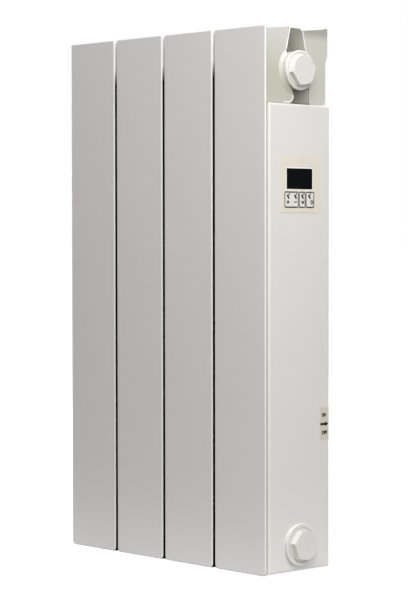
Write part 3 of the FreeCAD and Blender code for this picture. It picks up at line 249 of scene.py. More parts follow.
# Light from all round, and lamps with their place, aim, size and power
WORLD_STRENGTH = 0.158
SOFTBOXES = {
    "rear_softbox": ((-0.5, 1.9, 1.3), (0.0, 0.0, 0.30), (1.4, 1.4), 16.0),
    "left_softbox": ((-1.8, 0.35, 0.9), (-0.16, 0.0, 0.30), (1.2, 1.2), 14.0),
    "key_softbox": ((0.955, -0.525, 1.008), (0.05, 0.0, 0.30), (0.9, 1.4), 17.6),
    "top_softbox": ((0.1, -0.5, 2.2), (0.0, 0.0, 0.30), (1.4, 1.0), 12.0),
}


def new_material(name):
    """Empty principled material with its node tree and shader."""
    material = bpy.data.materials.new(name)
    material.use_nodes = True
    tree = material.node_tree
    return material, tree, tree.nodes["Principled BSDF"]


def noise(tree, coordinates, scale, detail=3.0):
    """Noise texture, scale in features per metre."""
    texture = tree.nodes.new("ShaderNodeTexNoise")
    texture.inputs["Scale"].default_value = scale
    texture.inputs["Detail"].default_value = detail
    tree.links.new(coordinates, texture.inputs["Vector"])
    return texture.outputs["Fac"]


def remap(tree, value, source, target):
    """A value taken from one range to another, held at the ends."""
    node = tree.nodes.new("ShaderNodeMapRange")
    node.inputs["From Min"].default_value = source[0]
    node.inputs["From Max"].default_value = source[1]
    node.inputs["To Min"].default_value = target[0]
    node.inputs["To Max"].default_value = target[1]
    tree.links.new(value, node.inputs["Value"])
    return node.outputs["Result"]


def ramp(tree, value, ends):
    """0 where a value is at the first end and 1 at the second, held outside them."""
    return remap(tree, value, ends, (0.0, 1.0))


def uneven(tree, value, mean, spread):
    """A number that a noise moves about its mean."""
    return remap(tree, value, NOISE_RANGE, ((1 - spread) * mean, (1 + spread) * mean))


def blend(tree, factor, first, second):
    """Colour between two colours or sockets."""
    node = tree.nodes.new("ShaderNodeMix")
    node.data_type = "RGBA"
    tree.links.new(factor, node.inputs["Factor"])
    for name, colour in (("A", first), ("B", second)):
        if isinstance(colour, bpy.types.NodeSocket):
            tree.links.new(colour, node.inputs[name])
        else:
            node.inputs[name].default_value = (*colour, 1)
    return node.outputs["Result"]


def tint(tree, value, colour, change):
    """Colour that varies a little about itself."""
    darker = [c * (1 - change) for c in colour]
    lighter = [min(1.0, c * (1 + change)) for c in colour]
    return blend(tree, value, darker, lighter)


def bump(tree, height, strength, distance):
    """Normal of a surface with a small relief."""
    node = tree.nodes.new("ShaderNodeBump")
    node.inputs["Strength"].default_value = strength
    node.inputs["Distance"].default_value = distance
    tree.links.new(height, node.inputs["Height"])
    return node.outputs["Normal"]


def openness(tree, reach):
    """How open a point lies, from 0 in a deep gap to 1 on a free face."""
    node = tree.nodes.new("ShaderNodeAmbientOcclusion")
    node.samples = AIR_SAMPLES
    node.inputs["Distance"].default_value = reach
    return node.outputs["AO"]


def arith(tree, operation, first, second=0.0):
    """One arithmetic step on sockets or numbers."""
    node = tree.nodes.new("ShaderNodeMath")
    node.operation = operation
    for socket, value in zip(node.inputs, (first, second)):
        if isinstance(value, bpy.types.NodeSocket):
            tree.links.new(value, socket)
        else:
            socket.default_value = value
    return node.outputs["Value"]


def highest(tree, *values):
    """The largest of several sockets."""
    return reduce(lambda first, second: arith(tree, "MAXIMUM", first, second), values)


def lowest(tree, *values):
    """The smallest of several sockets."""
    return reduce(lambda first, second: arith(tree, "MINIMUM", first, second), values)


def split(tree, vector):
    """The three parts of a vector."""
    node = tree.nodes.new("ShaderNodeSeparateXYZ")
    tree.links.new(vector, node.inputs["Vector"])
    return node.outputs


def middle_of(node):
    """Middle of a node's box."""
    low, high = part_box(node)
    return [(a + b) / 2 for a, b in zip(low, high)]


def coated(name, colour, roughness, grain, relief, coat=0.0, change=0.02, specular=0.5):
    """Paint, film or plastic with fine grain, slow colour drift and uneven gloss."""
    material, tree, shader = new_material(name)
    where = tree.nodes.new("ShaderNodeTexCoord").outputs["Object"]
    drift = noise(tree, where, DRIFT_SCALE, DRIFT_DETAIL)
    patches = noise(tree, where, grain / GLOSS_SPAN)
    grains = noise(tree, where, grain)
    tree.links.new(tint(tree, drift, colour, change), shader.inputs["Base Color"])
    tree.links.new(uneven(tree, patches, roughness, GLOSS_SPREAD), shader.inputs["Roughness"])
    tree.links.new(bump(tree, grains, GRAIN_STRENGTH, relief), shader.inputs["Normal"])
    shader.inputs["Coat Weight"].default_value = coat
    shader.inputs["Coat Roughness"].default_value = COAT_ROUGHNESS
    shader.inputs["Specular IOR Level"].default_value = specular
    return material


def brushed(name, colour, roughness):
    """Drawn or turned metal with fine lines."""
    material, tree, shader = new_material(name)
    stretch = tree.nodes.new("ShaderNodeMapping")
    stretch.inputs["Scale"].default_value = BRUSH_STRETCH
    tree.links.new(tree.nodes.new("ShaderNodeTexCoord").outputs["Object"], stretch.inputs["Vector"])
    lines = noise(tree, stretch.outputs["Vector"], BRUSH_SCALE, BRUSH_DETAIL)
    tree.links.new(tint(tree, lines, colour, BRUSH_DRIFT), shader.inputs["Base Color"])
    tree.links.new(uneven(tree, lines, roughness, BRUSH_SPREAD), shader.inputs["Roughness"])
    tree.links.new(bump(tree, lines, BRUSH_STRENGTH, BRUSH_RELIEF), shader.inputs["Normal"])
    shader.inputs["Metallic"].default_value = 1.0
    return material


def casting_fields(tree):
    """Where a point of the castings lies and how it faces, as sockets."""
    coordinates = tree.nodes.new("ShaderNodeTexCoord")
    place = split(tree, coordinates.outputs["Object"])
    facing = split(tree, coordinates.outputs["Normal"])
    low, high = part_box("section_1")[0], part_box("section_4")[1]
    _, hub_y, hub_z = middle_of("plug_upper_right")
    flank_face = (high[0] - low[0]) / 2 - FLANK_INSET
    from_middle = arith(tree, "ABSOLUTE", arith(tree, "SUBTRACT", place["X"], (low[0] + high[0]) / 2))
    at = SimpleNamespace(
        drift=noise(tree, coordinates.outputs["Object"], DRIFT_SCALE, DRIFT_DETAIL),
        sideways=arith(tree, "ABSOLUTE", facing["X"]),
        upward=facing["Z"],
        over_floor=place["Z"],
        over_hub=arith(tree, "SUBTRACT", place["Z"], hub_z),
        under_top=arith(tree, "SUBTRACT", high[2], place["Z"]),
        behind_front=arith(tree, "SUBTRACT", place["Y"], low[1]),
        behind_hub=arith(tree, "SUBTRACT", place["Y"], hub_y),
        before_back=arith(tree, "SUBTRACT", high[1], place["Y"]),
        under_flank=arith(tree, "SUBTRACT", flank_face, from_middle),
    )
    at.in_front = ramp(tree, at.behind_front, (EDGE_DEPTH, EDGE_DEPTH - EDGE_FADE))
    at.near_end = ramp(tree, at.under_flank, END_DEPTH)
    at.near_top = ramp(tree, at.under_top, OPEN_TOP)
    return at


def front_paint(tree, at, plates):
    """The plates' paint, with painted highlights in white on their rims."""
    on_rim = highest(
        tree,
        ramp(tree, at.sideways, RIM_SIDEWAYS),
        ramp(tree, at.upward, RIM_UPWARD),
        ramp(tree, at.under_top, (RIM_HEIGHT, 0.0)),
    )
    return blend(tree, on_rim, plates, HIGHLIGHT_WHITE)


def flank_paint(tree, at):
    """End flanks in painted shade with warm painted bounce light, lighter over the hub, deeper painted
    shade under the rear's top and olive painted shade down in the grooves.
    """
    whites = (FLANK_SHADE_WARM, FLANK_TOP_SHADE, REAR_FLANK_SHADE)
    lower, upper, rear = [tint(tree, at.drift, white, FLANK_DRIFT) for white in whites]
    front = blend(tree, ramp(tree, at.over_hub, TOP_SHADE_FADE), lower, upper)
    rear = blend(tree, ramp(tree, at.under_top, REAR_SHADE), rear, REAR_TOP_SHADE)
    faces = blend(tree, ramp(tree, at.behind_hub, REAR_FLANK_SPAN), front, rear)
    # Olive painted shade, deeper down the grooves
    under_face = ramp(tree, at.under_flank, GROOVE_EDGE)
    groove_shade = remap(tree, at.under_flank, (GROOVE_EDGE[1], GROOVE_DEPTH), (GROOVE_START, 1.0))
    return blend(tree, lowest(tree, under_face, groove_shade, at.near_end), faces, GROOVE_SHADE_OLIVE)


def side_paint(tree, at, plates):
    """Paint behind the plates: the end flanks' own painted shade, with painted highlights in white on the
    edges over the hub and painted light in white on the inner sides near the top."""
    flanks = flank_paint(tree, at)
    end_highlights = blend(tree, ramp(tree, at.over_hub, EDGE_RISE), flanks, HIGHLIGHT_WHITE)
    at_end = lowest(tree, at.near_end, ramp(tree, at.before_back, EDGE_BACK))
    edges = blend(tree, at_end, plates, end_highlights)
    # Inner sides near the top in painted light, white
    sides = blend(tree, at.near_end, blend(tree, at.near_top, plates, HIGHLIGHT_WHITE), flanks)
    on_side = lowest(tree, ramp(tree, at.upward, FLANK_UPWARD), ramp(tree, at.sideways, FLANK_SIDEWAYS))
    return blend(tree, on_side, edges, sides)


def unshaded_share(tree, at):
    """Where the painted shade of the gaps stops: 0 deep between two sections, painted black, 1 on free
    faces.
    """
    air = openness(tree, AIR_REACH)
    in_gap = lowest(tree, ramp(tree, at.over_floor, OPEN_FOOT), ramp(tree, air, GAP_AIR))
    past_gap = highest(tree, ramp(tree, at.behind_front, GAP_DEPTH), in_gap)
    open_air = lowest(tree, ramp(tree, air, FREE_AIR), past_gap)
    return highest(tree, open_air, at.in_front, at.near_top, at.near_end)


def casting(name):
    """Powder coat of the castings, with painted highlights in white on the edges and rims, painted shade
    with warm painted bounce light on the end flanks, olive painted shade down in their grooves and black
    painted shade between two sections."""
    material = coated(name, CASTING_WHITE, roughness=0.38, grain=900.0, relief=0.05 * MM)
    tree = material.node_tree
    shader = tree.nodes["Principled BSDF"]
    colour = shader.inputs["Base Color"]
    plates = colour.links[0].from_socket
    at = casting_fields(tree)
    paint = blend(tree, at.in_front, side_paint(tree, at, plates), front_paint(tree, at, plates))
    tree.links.new(paint, colour)
    # Black painted shade deep between two sections
    black_shade = tree.nodes.new("ShaderNodeBsdfDiffuse")
    black_shade.inputs["Color"].default_value = (*GAP_SHADE_BLACK, 1)
    mix = tree.nodes.new("ShaderNodeMixShader")
    tree.links.new(unshaded_share(tree, at), mix.inputs["Fac"])
    tree.links.new(black_shade.outputs["BSDF"], mix.inputs[1])
    tree.links.new(shader.outputs["BSDF"], mix.inputs[2])
    tree.links.new(mix.outputs["Shader"], tree.nodes["Material Output"].inputs["Surface"])
    return material


def plug_coat(name):
    """Gloss paint of the plugs, with painted light on what faces up and warm painted shade underneath."""
    material = coated(name, PLUG_WHITE, roughness=0.30, grain=1200.0, relief=0.01 * MM, coat=0.2)
    tree = material.node_tree
    colour = tree.nodes["Principled BSDF"].inputs["Base Color"]
    paint = colour.links[0].from_socket
    upward = split(tree, tree.nodes.new("ShaderNodeTexCoord").outputs["Normal"])["Z"]
    paint = blend(tree, ramp(tree, upward, PLUG_UPWARD), paint, PLUG_LIT_WHITE)
    paint = blend(tree, ramp(tree, upward, PLUG_DOWNWARD), paint, PLUG_SHADE_WARM)
    tree.links.new(paint, colour)
    return material


# Finishes: colour, roughness, grain in features per metre, and the grain's relief
casting_paint = casting("casting_paint")
cover_paint = coated("cover_paint", COVER_WHITE, 0.36, 1100.0, 0.04 * MM)
plug_paint = plug_coat("plug_paint")
panel_film = coated("panel_film", FILM_BEIGE, 0.45, 1600.0, 0.03 * MM, change=0.04)
sticker_film = coated("sticker_film", STICKER_BEIGE, 0.5, 1500.0, 0.03 * MM, change=0.07)
key_plastic = coated("key_plastic", KEY_WHITE, 0.4, 2400.0, 0.02 * MM)
window_black = coated("window_black", WINDOW_BLACK, 0.16, 600.0, 0.002 * MM, change=0.2, specular=0.02)
black_plastic = coated("black_plastic", PLASTIC_BLACK, 0.45, 3200.0, 0.03 * MM, change=0.1)
ink = coated("printed_ink", INK, 0.6, 3000.0, 0.01 * MM, change=0.15, specular=0.2)
black_ink = coated("black_ink", INK_BLACK, 0.6, 3000.0, 0.01 * MM, change=0.2, specular=0.2)
grey_ink = coated("grey_ink", INK_GREY, 0.6, 3000.0, 0.01 * MM, change=0.08, specular=0.3)
white_ink = coated("white_ink", INK_WHITE, 0.5, 3000.0, 0.01 * MM)
# white of the lips' painted highlights
highlight_paint = coated("highlight_paint", HIGHLIGHT_WHITE, 0.34, 1200.0, 0.03 * MM)
pale_rubber = coated("pale_rubber", RUBBER_PALE, 0.75, 1800.0, 0.05 * MM, change=0.06)
dark_rubber = coated("dark_rubber", RUBBER_DARK, 0.7, 1800.0, 0.06 * MM, change=0.1)
steatite = coated("steatite", STEATITE_CREAM, 0.6, 1500.0, 0.08 * MM, change=0.05)
laminate = coated("board_laminate", BOARD_GREEN, 0.4, 2200.0, 0.03 * MM, change=0.1)
pale_plastic = coated("pale_plastic", PLASTIC_PALE, 0.5, 2600.0, 0.03 * MM)
insulation = coated("lead_insulation", LEAD_GREY, 0.6, 2200.0, 0.04 * MM, change=0.05)
mica = coated("mica", MICA_BROWN, 0.5, 500.0, 0.1 * MM, change=0.18)
bare_steel = brushed("bare_steel", STEEL_GREY, 0.35)
heating_wire = brushed("heating_wire", WIRE_GREY, 0.45)

DRESS = {
    casting_paint: [n for n in nodes if n.startswith("section_")],
    cover_paint: ["side_cover"],
    plug_paint: [n for n in nodes if n.startswith("plug_") and n != "plug_seals"],
    panel_film: ["control_overlay"],
    sticker_film: ["switch_sticker"],
    key_plastic: [n for n in nodes if n.startswith("key_")],
    window_black: ["display_window"],
    black_plastic: ["display_module", "tact_switches", "relay", "switch_housing", "switch_rocker"],
    pale_rubber: ["plug_seals", "lead_bush"],
    dark_rubber: ["cable_inlet_bush", "joint_gaskets"],
    steatite: [n for n in nodes if n.startswith("heater_bobbins")],
    heating_wire: [n for n in nodes if n.startswith("heating_coil")],
    laminate: ["control_board"],
    pale_plastic: ["board_connector", "terminal_block", "temperature_sensor", "transformer"],
    insulation: ["board_leads", "switch_leads", "heater_leads"],
    mica: ["heat_shield"],
    bare_steel: [
        "heater_rods", "upper_nipples", "lower_nipples", "core_caps", "board_screws", "earth_screw",
        "switch_tabs", "shield_pillars", "board_pillars", "cover_screws",
    ],
}
for material, names in DRESS.items():
    for name in names:
        mesh = nodes[name].data
        mesh.materials.clear()
        mesh.materials.append(material)
        mesh.shade_smooth()
        mesh.set_sharp_from_angle(angle=FACET_ANGLE if material == plug_paint else SHARP_ANGLE)


def add_piece(name, mesh, material, body):
    """Puts a new mesh into the scene and on a body."""
    piece = bpy.data.objects.new(name, mesh)
    bpy.context.scene.collection.objects.link(piece)
    mesh.materials.append(material)
    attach(piece, body)
    return piece


def finish_mesh(name, build):
    """Mesh from a bmesh with its faces turned outwards."""
    bmesh.ops.recalc_face_normals(build, faces=build.faces)
    mesh = bpy.data.meshes.new(name)
    build.to_mesh(mesh)
    build.free()
    return mesh


def curve_mesh(name, curve):
    """Mesh of a curve or a text."""
    holder = bpy.data.objects.new(name, curve)
    mesh = bpy.data.meshes.new_from_object(holder)
    mesh.name = name
    bpy.data.objects.remove(holder)
    return mesh


def circle(centre, radius, steps=28, start=0.0, sweep=360.0):
    """Points on a circle, or on part of one with both its ends."""
    count = steps if sweep >= 360 else steps + 1
    turns = [math.radians(start + sweep * i / steps) for i in range(count)]
    return [(centre[0] + radius * math.cos(t), centre[1] + radius * math.sin(t)) for t in turns]


def rounded_rect(low, high, radius, steps=6):
    """Outline of a rectangle with round corners, as (y, z) points."""
    middle = ((low[0] + high[0]) / 2, (low[1] + high[1]) / 2)
    corners = ((high[0], high[1]), (low[0], high[1]), (low[0], low[1]), (high[0], low[1]))
    points = []
    for number, (y, z) in enumerate(corners):
        centre = (y + math.copysign(radius, middle[0] - y), z + math.copysign(radius, middle[1] - z))
        points += circle(centre, radius, steps, 90 * number, 90)
    return points


def capsule(start, end, radius, steps=8):
    """Outline of a thick stroke with round ends."""
    along = math.degrees(math.atan2(end[1] - start[1], end[0] - start[0]))
    return circle(end, radius, steps, along - 90, 180) + circle(start, radius, steps, along + 90, 180)


def cross(reach, half):
    """Outline of an upright cross from its arms' reach and half width."""
    corner = [(reach, -half), (reach, half), (half, half)]
    turned = []
    for _ in range(4):
        turned += corner
        corner = [(-b, a) for a, b in corner]
    return turned


def prism_mesh(name, outlines, x_low, x_high):
    """Closed prisms along X from (y, z) outlines."""
    build = bmesh.new()
    for outline in outlines:
        base = [build.verts.new((x_low, y, z)) for y, z in outline]
        top = [build.verts.new((x_high, y, z)) for y, z in outline]
        build.faces.new(base)
        build.faces.new(top)
        for i in range(len(outline)):
            build.faces.new((base[i - 1], base[i], top[i], top[i - 1]))
    return finish_mesh(name, build)


def ring_mesh(name, pairs, x_low, x_high):
    """Closed rings along X between outer and inner outlines with as many points."""
    build = bmesh.new()
    for pair in pairs:
        loops = [[build.verts.new((x, y, z)) for y, z in line] for line in pair for x in (x_low, x_high)]
        outer_low, outer_high, inner_low, inner_high = loops
        around = (outer_high, inner_high, inner_low, outer_low, outer_high)
        for a, b in zip(around, around[1:]):
            for i in range(len(a)):
                build.faces.new((a[i - 1], a[i], b[i], b[i - 1]))
    return finish_mesh(name, build)


def grown(low, high, margin):
    """A rectangle's corners moved outwards."""
    return (low[0] - margin, low[1] - margin), (high[0] + margin, high[1] + margin)


# Beads on the end flanks: lips along the grooves' front edges, white as painted highlights, and a seam
# along the foot over the cover
def bead(name, points, x, material):
    """Round bead through (y, z) points, half of it sunk in a flank's face."""
    curve = bpy.data.curves.new(name, "CURVE")
    curve.dimensions = "3D"
    curve.bevel_depth = LIP_RADIUS
    curve.bevel_resolution = LIP_ROUNDNESS
    curve.use_fill_caps = True
    spline = curve.splines.new("POLY")
    spline.points.add(len(points) - 1)
    for point, (y, z) in zip(spline.points, points):
        point.co = (x, y, z, 1)
    mesh = curve_mesh(name, curve)
    mesh.shade_smooth()
    add_piece(name, mesh, material, "radiator")


def upper_lips():
    """Lips over the upper hub, on both ends, white as painted highlights."""
    _, hub_y, hub_z = middle_of("plug_upper_right")
    left_low, right_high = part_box("section_1")[0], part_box("section_4")[1]
    top, foot = [hub_y - inset for inset in UPPER_LIP_ENDS]
    points = [(top, right_high[2] - 2 * LIP_RADIUS), (foot, hub_z + UPPER_LIP_FOOT)]
    bead("lip_over_left", points, left_low[0] + FLANK_INSET, highlight_paint)
    bead("lip_over_right", points, right_high[0] - FLANK_INSET, highlight_paint)


def foot_beads():
    """Lip under the upper hub on the right end, white as a painted highlight, and the seam between that
    flank and the cover.
    """
    _, hub_y, hub_z = middle_of("plug_upper_right")
    low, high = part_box("section_4")
    face = high[0] - FLANK_INSET
    cover_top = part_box("side_cover")[1][2]
    edge = hub_y - LOWER_LIP_EDGE
    foot = cover_top + LOWER_LIP_SLOT + LIP_RADIUS
    centre = (edge - LOWER_LIP_CORNER, foot + LOWER_LIP_CORNER)
    corner = circle(centre, LOWER_LIP_CORNER, steps=8, start=0, sweep=-90)
    lip = [(edge, hub_z - LOWER_LIP_TOP), *corner, (edge - LOWER_LIP_RUN, foot)]
    bead("lip_under_right", lip, face, highlight_paint)
    seam = cover_top + FOOT_SLOT + LIP_RADIUS
    front = [(low[1] + FOOT_FRONT_ENDS[0], seam), (edge - FOOT_FRONT_ENDS[1], seam)]
    rear = [(hub_y + FOOT_REAR_ENDS[0], seam), (high[1] - FOOT_REAR_ENDS[1], seam)]
    bead("lip_foot_front", front, face, casting_paint)
    bead("lip_foot_rear", rear, face, casting_paint)


upper_lips()
foot_beads()

# Frames printed round the key groups and the window
panel_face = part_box("control_overlay")[1][0]
print_layer = (panel_face, panel_face + PRINT_FILM)
KEY_GROUPS = (("key_plus", "key_minus"), ("key_mode",), ("key_power",))


def key_frames():
    """Round-cornered frame about each group of keys."""
    rings = []
    for group in KEY_GROUPS:
        first_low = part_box(group[0])[0]
        last_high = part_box(group[-1])[1]
        low, high = grown(first_low[1:], last_high[1:], KEY_CLEARANCE)
        outer = rounded_rect(*grown(low, high, FRAME_LINE), FRAME_CORNER)
        rings.append((outer, rounded_rect(low, high, FRAME_CORNER - FRAME_LINE)))
    mesh = ring_mesh("key_frames", rings, *print_layer)
    add_piece("key_frames", mesh, ink, "radiator")


def window_line():
    """White line about the display window."""
    low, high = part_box("display_window")
    pane = grown(low[1:], high[1:], WINDOW_CLEARANCE - WINDOW_RIM)
    outer = rounded_rect(*grown(*pane, WINDOW_LINE), WINDOW_CORNERS[0])
    inner = rounded_rect(*pane, WINDOW_CORNERS[1])
    mesh = ring_mesh("window_line", [(outer, inner)], *print_layer)
    add_piece("window_line", mesh, white_ink, "radiator")


key_frames()
window_line()

# Signs on the keys: a pressing finger over each symbol, in millimetres
PLUS = cross(1.9, 0.75)
MINUS = [(-2.0, -0.6), (2.0, -0.6), (2.0, 0.6), (-2.0, 0.6)]
ARROW_DOWN = [(0.0, -2.5), (2.3, 0.3), (1.6, 1.8), (0.0, 0.4), (-1.6, 1.8), (-2.3, 0.3)]
POWER_BAR = [(-0.35, 0.9), (0.35, 0.9), (0.35, 2.8), (-0.35, 2.8)]
POWER_RING = (circle((0, 0), 2.2), circle((0, 0), 1.05))


def pressing_hand():
    """Outlines of a pressing finger and of the curled ones beside it, in millimetres."""
    back, tip = [end * FINGER_ALONG for end in FINGER_ENDS]
    curled = []
    for number in range(1, CURLED_FINGERS + 1):
        knuckle = (CURLED_OFFSET + CURLED_PITCH * number) * FINGER_BESIDE
        far = knuckle - CURLED_BACK * FINGER_ALONG
        near = knuckle - (CURLED_FRONT + CURLED_STEP * number) * FINGER_ALONG
        curled.append(capsule(far, near, CURLED_RADIUS))
    return capsule(back, tip, FINGER_RADIUS), curled


def key_sign(node, hand_shift, symbol_shift, symbol, ring=None):
    """Finger, hand and symbol on a key, shifted along it in millimetres."""
    _, y, z = middle_of(node)
    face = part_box(node)[1][0]
    layer = (face, face + PRINT_FILM)

    def placed(outline, shift, rise):
        return [(y + (shift + a) * MM, z + rise + b * MM) for a, b in outline]

    finger, curled = pressing_hand()
    fingers = [placed(finger, hand_shift, HAND_RISE)]
    hand = [placed(outline, hand_shift, HAND_RISE) for outline in curled]
    add_piece(node + "_finger", prism_mesh(node + "_finger", fingers, *layer), ink, node)
    add_piece(node + "_hand", prism_mesh(node + "_hand", hand, *layer), grey_ink, node)
    mark = placed(symbol, symbol_shift, -SYMBOL_DROP)
    add_piece(node + "_symbol", prism_mesh(node + "_symbol", [mark], *layer), ink, node)
    if ring:
        pair = [placed(outline, symbol_shift, -SYMBOL_DROP) for outline in ring]
        add_piece(node + "_ring", ring_mesh(node + "_ring", [pair], *layer), ink, node)


key_sign("key_plus", hand_shift=-0.7, symbol_shift=-0.9, symbol=PLUS)
key_sign("key_minus", hand_shift=0.9, symbol_shift=0.9, symbol=MINUS)
key_sign("key_mode", hand_shift=0.1, symbol_shift=0.5, symbol=ARROW_DOWN)
key_sign("key_power", hand_shift=-1.15, symbol_shift=2.5, symbol=POWER_BAR, ring=POWER_RING)

# Sticker print: ON, an arrow towards the switch round the rear edge, OFF
sticker_low, sticker_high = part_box("switch_sticker")
sticker_face = sticker_high[0]
sticker_middle = (sticker_low[2] + sticker_high[2]) / 2
STOOD_UP = Matrix(((0, 0, 1, 0), (1, 0, 0, 0), (0, 1, 0, 0), (0, 0, 0, 1)))  # flat words turned to face +X


def sticker_word(name, text, stretch, inset, rise):
    """Word on the sticker, read from +X, its width times a stretch."""
    curve = bpy.data.curves.new(name, "FONT")
    curve.body = text
    curve.align_x = "CENTER"
    curve.align_y = "CENTER"
    curve.size = WORD_HEIGHT / CAPITAL_SHARE
    curve.extrude = PRINT_FILM / 2
    curve.offset = WORD_BOLD
    place = (sticker_face + PRINT_FILM / 2, sticker_low[1] + inset, sticker_middle + rise)
    mesh = curve_mesh(name, curve)
    mesh.transform(Matrix.Diagonal((stretch, 1, 1, 1)))
    mesh.transform(Matrix.Translation(place) @ STOOD_UP)
    add_piece(name, mesh, black_ink, "radiator")


def sticker_surface(y):
    """Height of the film's surface along X, flat and then round the rear bend."""
    past = max(0.0, y - (sticker_high[1] - STICKER_BEND))
    return sticker_face - STICKER_BEND + math.sqrt(STICKER_BEND ** 2 - past ** 2)


def sticker_arrow(tail, tip, z):
    """Arrow along Y that lies on the film and bends with it."""
    neck = tip - HEAD_LENGTH
    stations = [(tail, ARROW_HALF), (neck, ARROW_HALF)]
    for step in range(HEAD_STEPS):
        share = step / HEAD_STEPS
        stations.append((neck + share * HEAD_LENGTH, HEAD_HALF * (1 - share)))
    build = bmesh.new()
    rows = []
    for y, half in stations:
        x = sticker_surface(y)
        corners = ((x, -half), (x, half), (x + PRINT_FILM, half), (x + PRINT_FILM, -half))
        rows.append([build.verts.new((depth, y, z + rise)) for depth, rise in corners])
    for a, b in zip(rows, rows[1:]):
        for i in range(4):
            build.faces.new((a[i - 1], a[i], b[i], b[i - 1]))
    build.faces.new(rows[0])
    build.faces.new(rows[-1])
    mesh = finish_mesh("switch_arrow", build)
    add_piece("switch_arrow", mesh, black_ink, "radiator")


sticker_word("switch_on_word", "ON", **ON_WORD)
sticker_word("switch_off_word", "OFF", **OFF_WORD)
sticker_arrow(sticker_low[1] + ARROW_ENDS[0], sticker_high[1] - ARROW_ENDS[1], sticker_middle - ARROW_DROP)

# Marks on the rocker: a bar for on above a ring for off
rocker_mesh = nodes["switch_rocker"].data
rocker_faces = BVHTree.FromPolygons(
    [vertex.co for vertex in rocker_mesh.vertices], [face.vertices for face in rocker_mesh.polygons]
)


def lay_on_rocker(mesh, rise):
    """Moves a mesh built along X on to the rocker's face, over or under its middle."""
    x, _, z = middle_of("switch_rocker")
    start = Vector((x, cad_box[1][1] + LOOK_FROM, z + rise))
    place, normal, _, _ = rocker_faces.ray_cast(start, Vector((0, -1, 0)))
    across = Vector((-1, 0, 0))
    axes = Matrix((normal, across, normal.cross(across))).transposed().to_4x4()
    mesh.transform(Matrix.Translation(place) @ axes)


def rocker_marks():
    """Bar and ring on the two halves of the rocker."""
    across, along = BAR_HALF
    outline = [(-across, -along), (across, -along), (across, along), (-across, along)]
    bar = prism_mesh("rocker_bar", [outline], 0.0, PRINT_FILM)
    ring = ring_mesh("rocker_ring", [[circle((0, 0), radius) for radius in RING_RADII]], 0.0, PRINT_FILM)
    for mesh, rise in ((bar, MARK_RISE), (ring, -MARK_RISE)):
        lay_on_rocker(mesh, rise)
        add_piece(mesh.name, mesh, white_ink, "rocker")


rocker_marks()


def recess_cutter():
    """Crosses at the three screws' places, built along X and turned to cut along Y."""
    low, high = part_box("cover_screws")
    centre = (low[0] + high[0]) / 2
    radius = (high[0] - low[0]) / 2
    heights = (low[2] + radius, (low[2] + high[2]) / 2, high[2] - radius)
    recess = cross(RECESS_REACH, RECESS_HALF)
    outlines = [[(a - centre, z + b) for a, b in recess] for z in heights]
    mesh = prism_mesh("recess", outlines, high[1] - RECESS_DEPTH, high[1] + RECESS_DEPTH)
    mesh.transform(Matrix.Rotation(math.radians(90), 4, "Z"))
    cutter = bpy.data.objects.new("recess", mesh)
    bpy.context.scene.collection.objects.link(cutter)
    return cutter


def recessed_screws():
    """The cover's screws with cross recesses in their heads."""
    build = bmesh.new()
    build.from_mesh(nodes["cover_screws"].data)
    bmesh.ops.remove_doubles(build, verts=build.verts, dist=SAME_POINT)
    whole = finish_mesh("recessed_screws", build)
    piece = add_piece("recessed_screws", whole, bare_steel, "radiator")
    cutter = recess_cutter()
    cut = piece.modifiers.new("recess", "BOOLEAN")
    cut.operation = "DIFFERENCE"
    cut.solver = "EXACT"
    cut.object = cutter
    evaluated = piece.evaluated_get(bpy.context.evaluated_depsgraph_get())
    mesh = bpy.data.meshes.new_from_object(evaluated)
    piece.modifiers.clear()
    piece.data = mesh
    bpy.data.objects.remove(cutter)
    mesh.shade_smooth()
    mesh.set_sharp_from_angle(angle=SHARP_ANGLE)
    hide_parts("cover_screws")


recessed_screws()


def seen_directly(tree):
    """One for camera, glossy and transmission rays, zero for the light that falls on things."""
    path = tree.nodes.new("ShaderNodeLightPath")
    rays = ("Is Camera Ray", "Is Glossy Ray", "Is Transmission Ray")
    return highest(tree, *[path.outputs[ray] for ray in rays])


def mix_by_view(tree, lit, seen, output):
    """Joins the shader that lights things and the one that is seen."""
    mix = tree.nodes.new("ShaderNodeMixShader")
    tree.links.new(seen_directly(tree), mix.inputs["Fac"])
    tree.links.new(lit, mix.inputs[1])
    tree.links.new(seen, mix.inputs[2])
    tree.links.new(mix.outputs["Shader"], output)


def past_edge(tree, value, half):
    """How far a place lies past a half width."""
    return arith(tree, "SUBTRACT", arith(tree, "ABSOLUTE", value), half)


def glow(tree, strength):
    """White light of a strength given by a socket."""
    node = tree.nodes.new("ShaderNodeEmission")
    tree.links.new(strength, node.inputs["Strength"])
    return node.outputs["Emission"]


def added(tree, first, second):
    """Two shaders on top of each other."""
    node = tree.nodes.new("ShaderNodeAddShader")
    tree.links.new(first, node.inputs[0])
    tree.links.new(second, node.inputs[1])
    return node.outputs["Shader"]


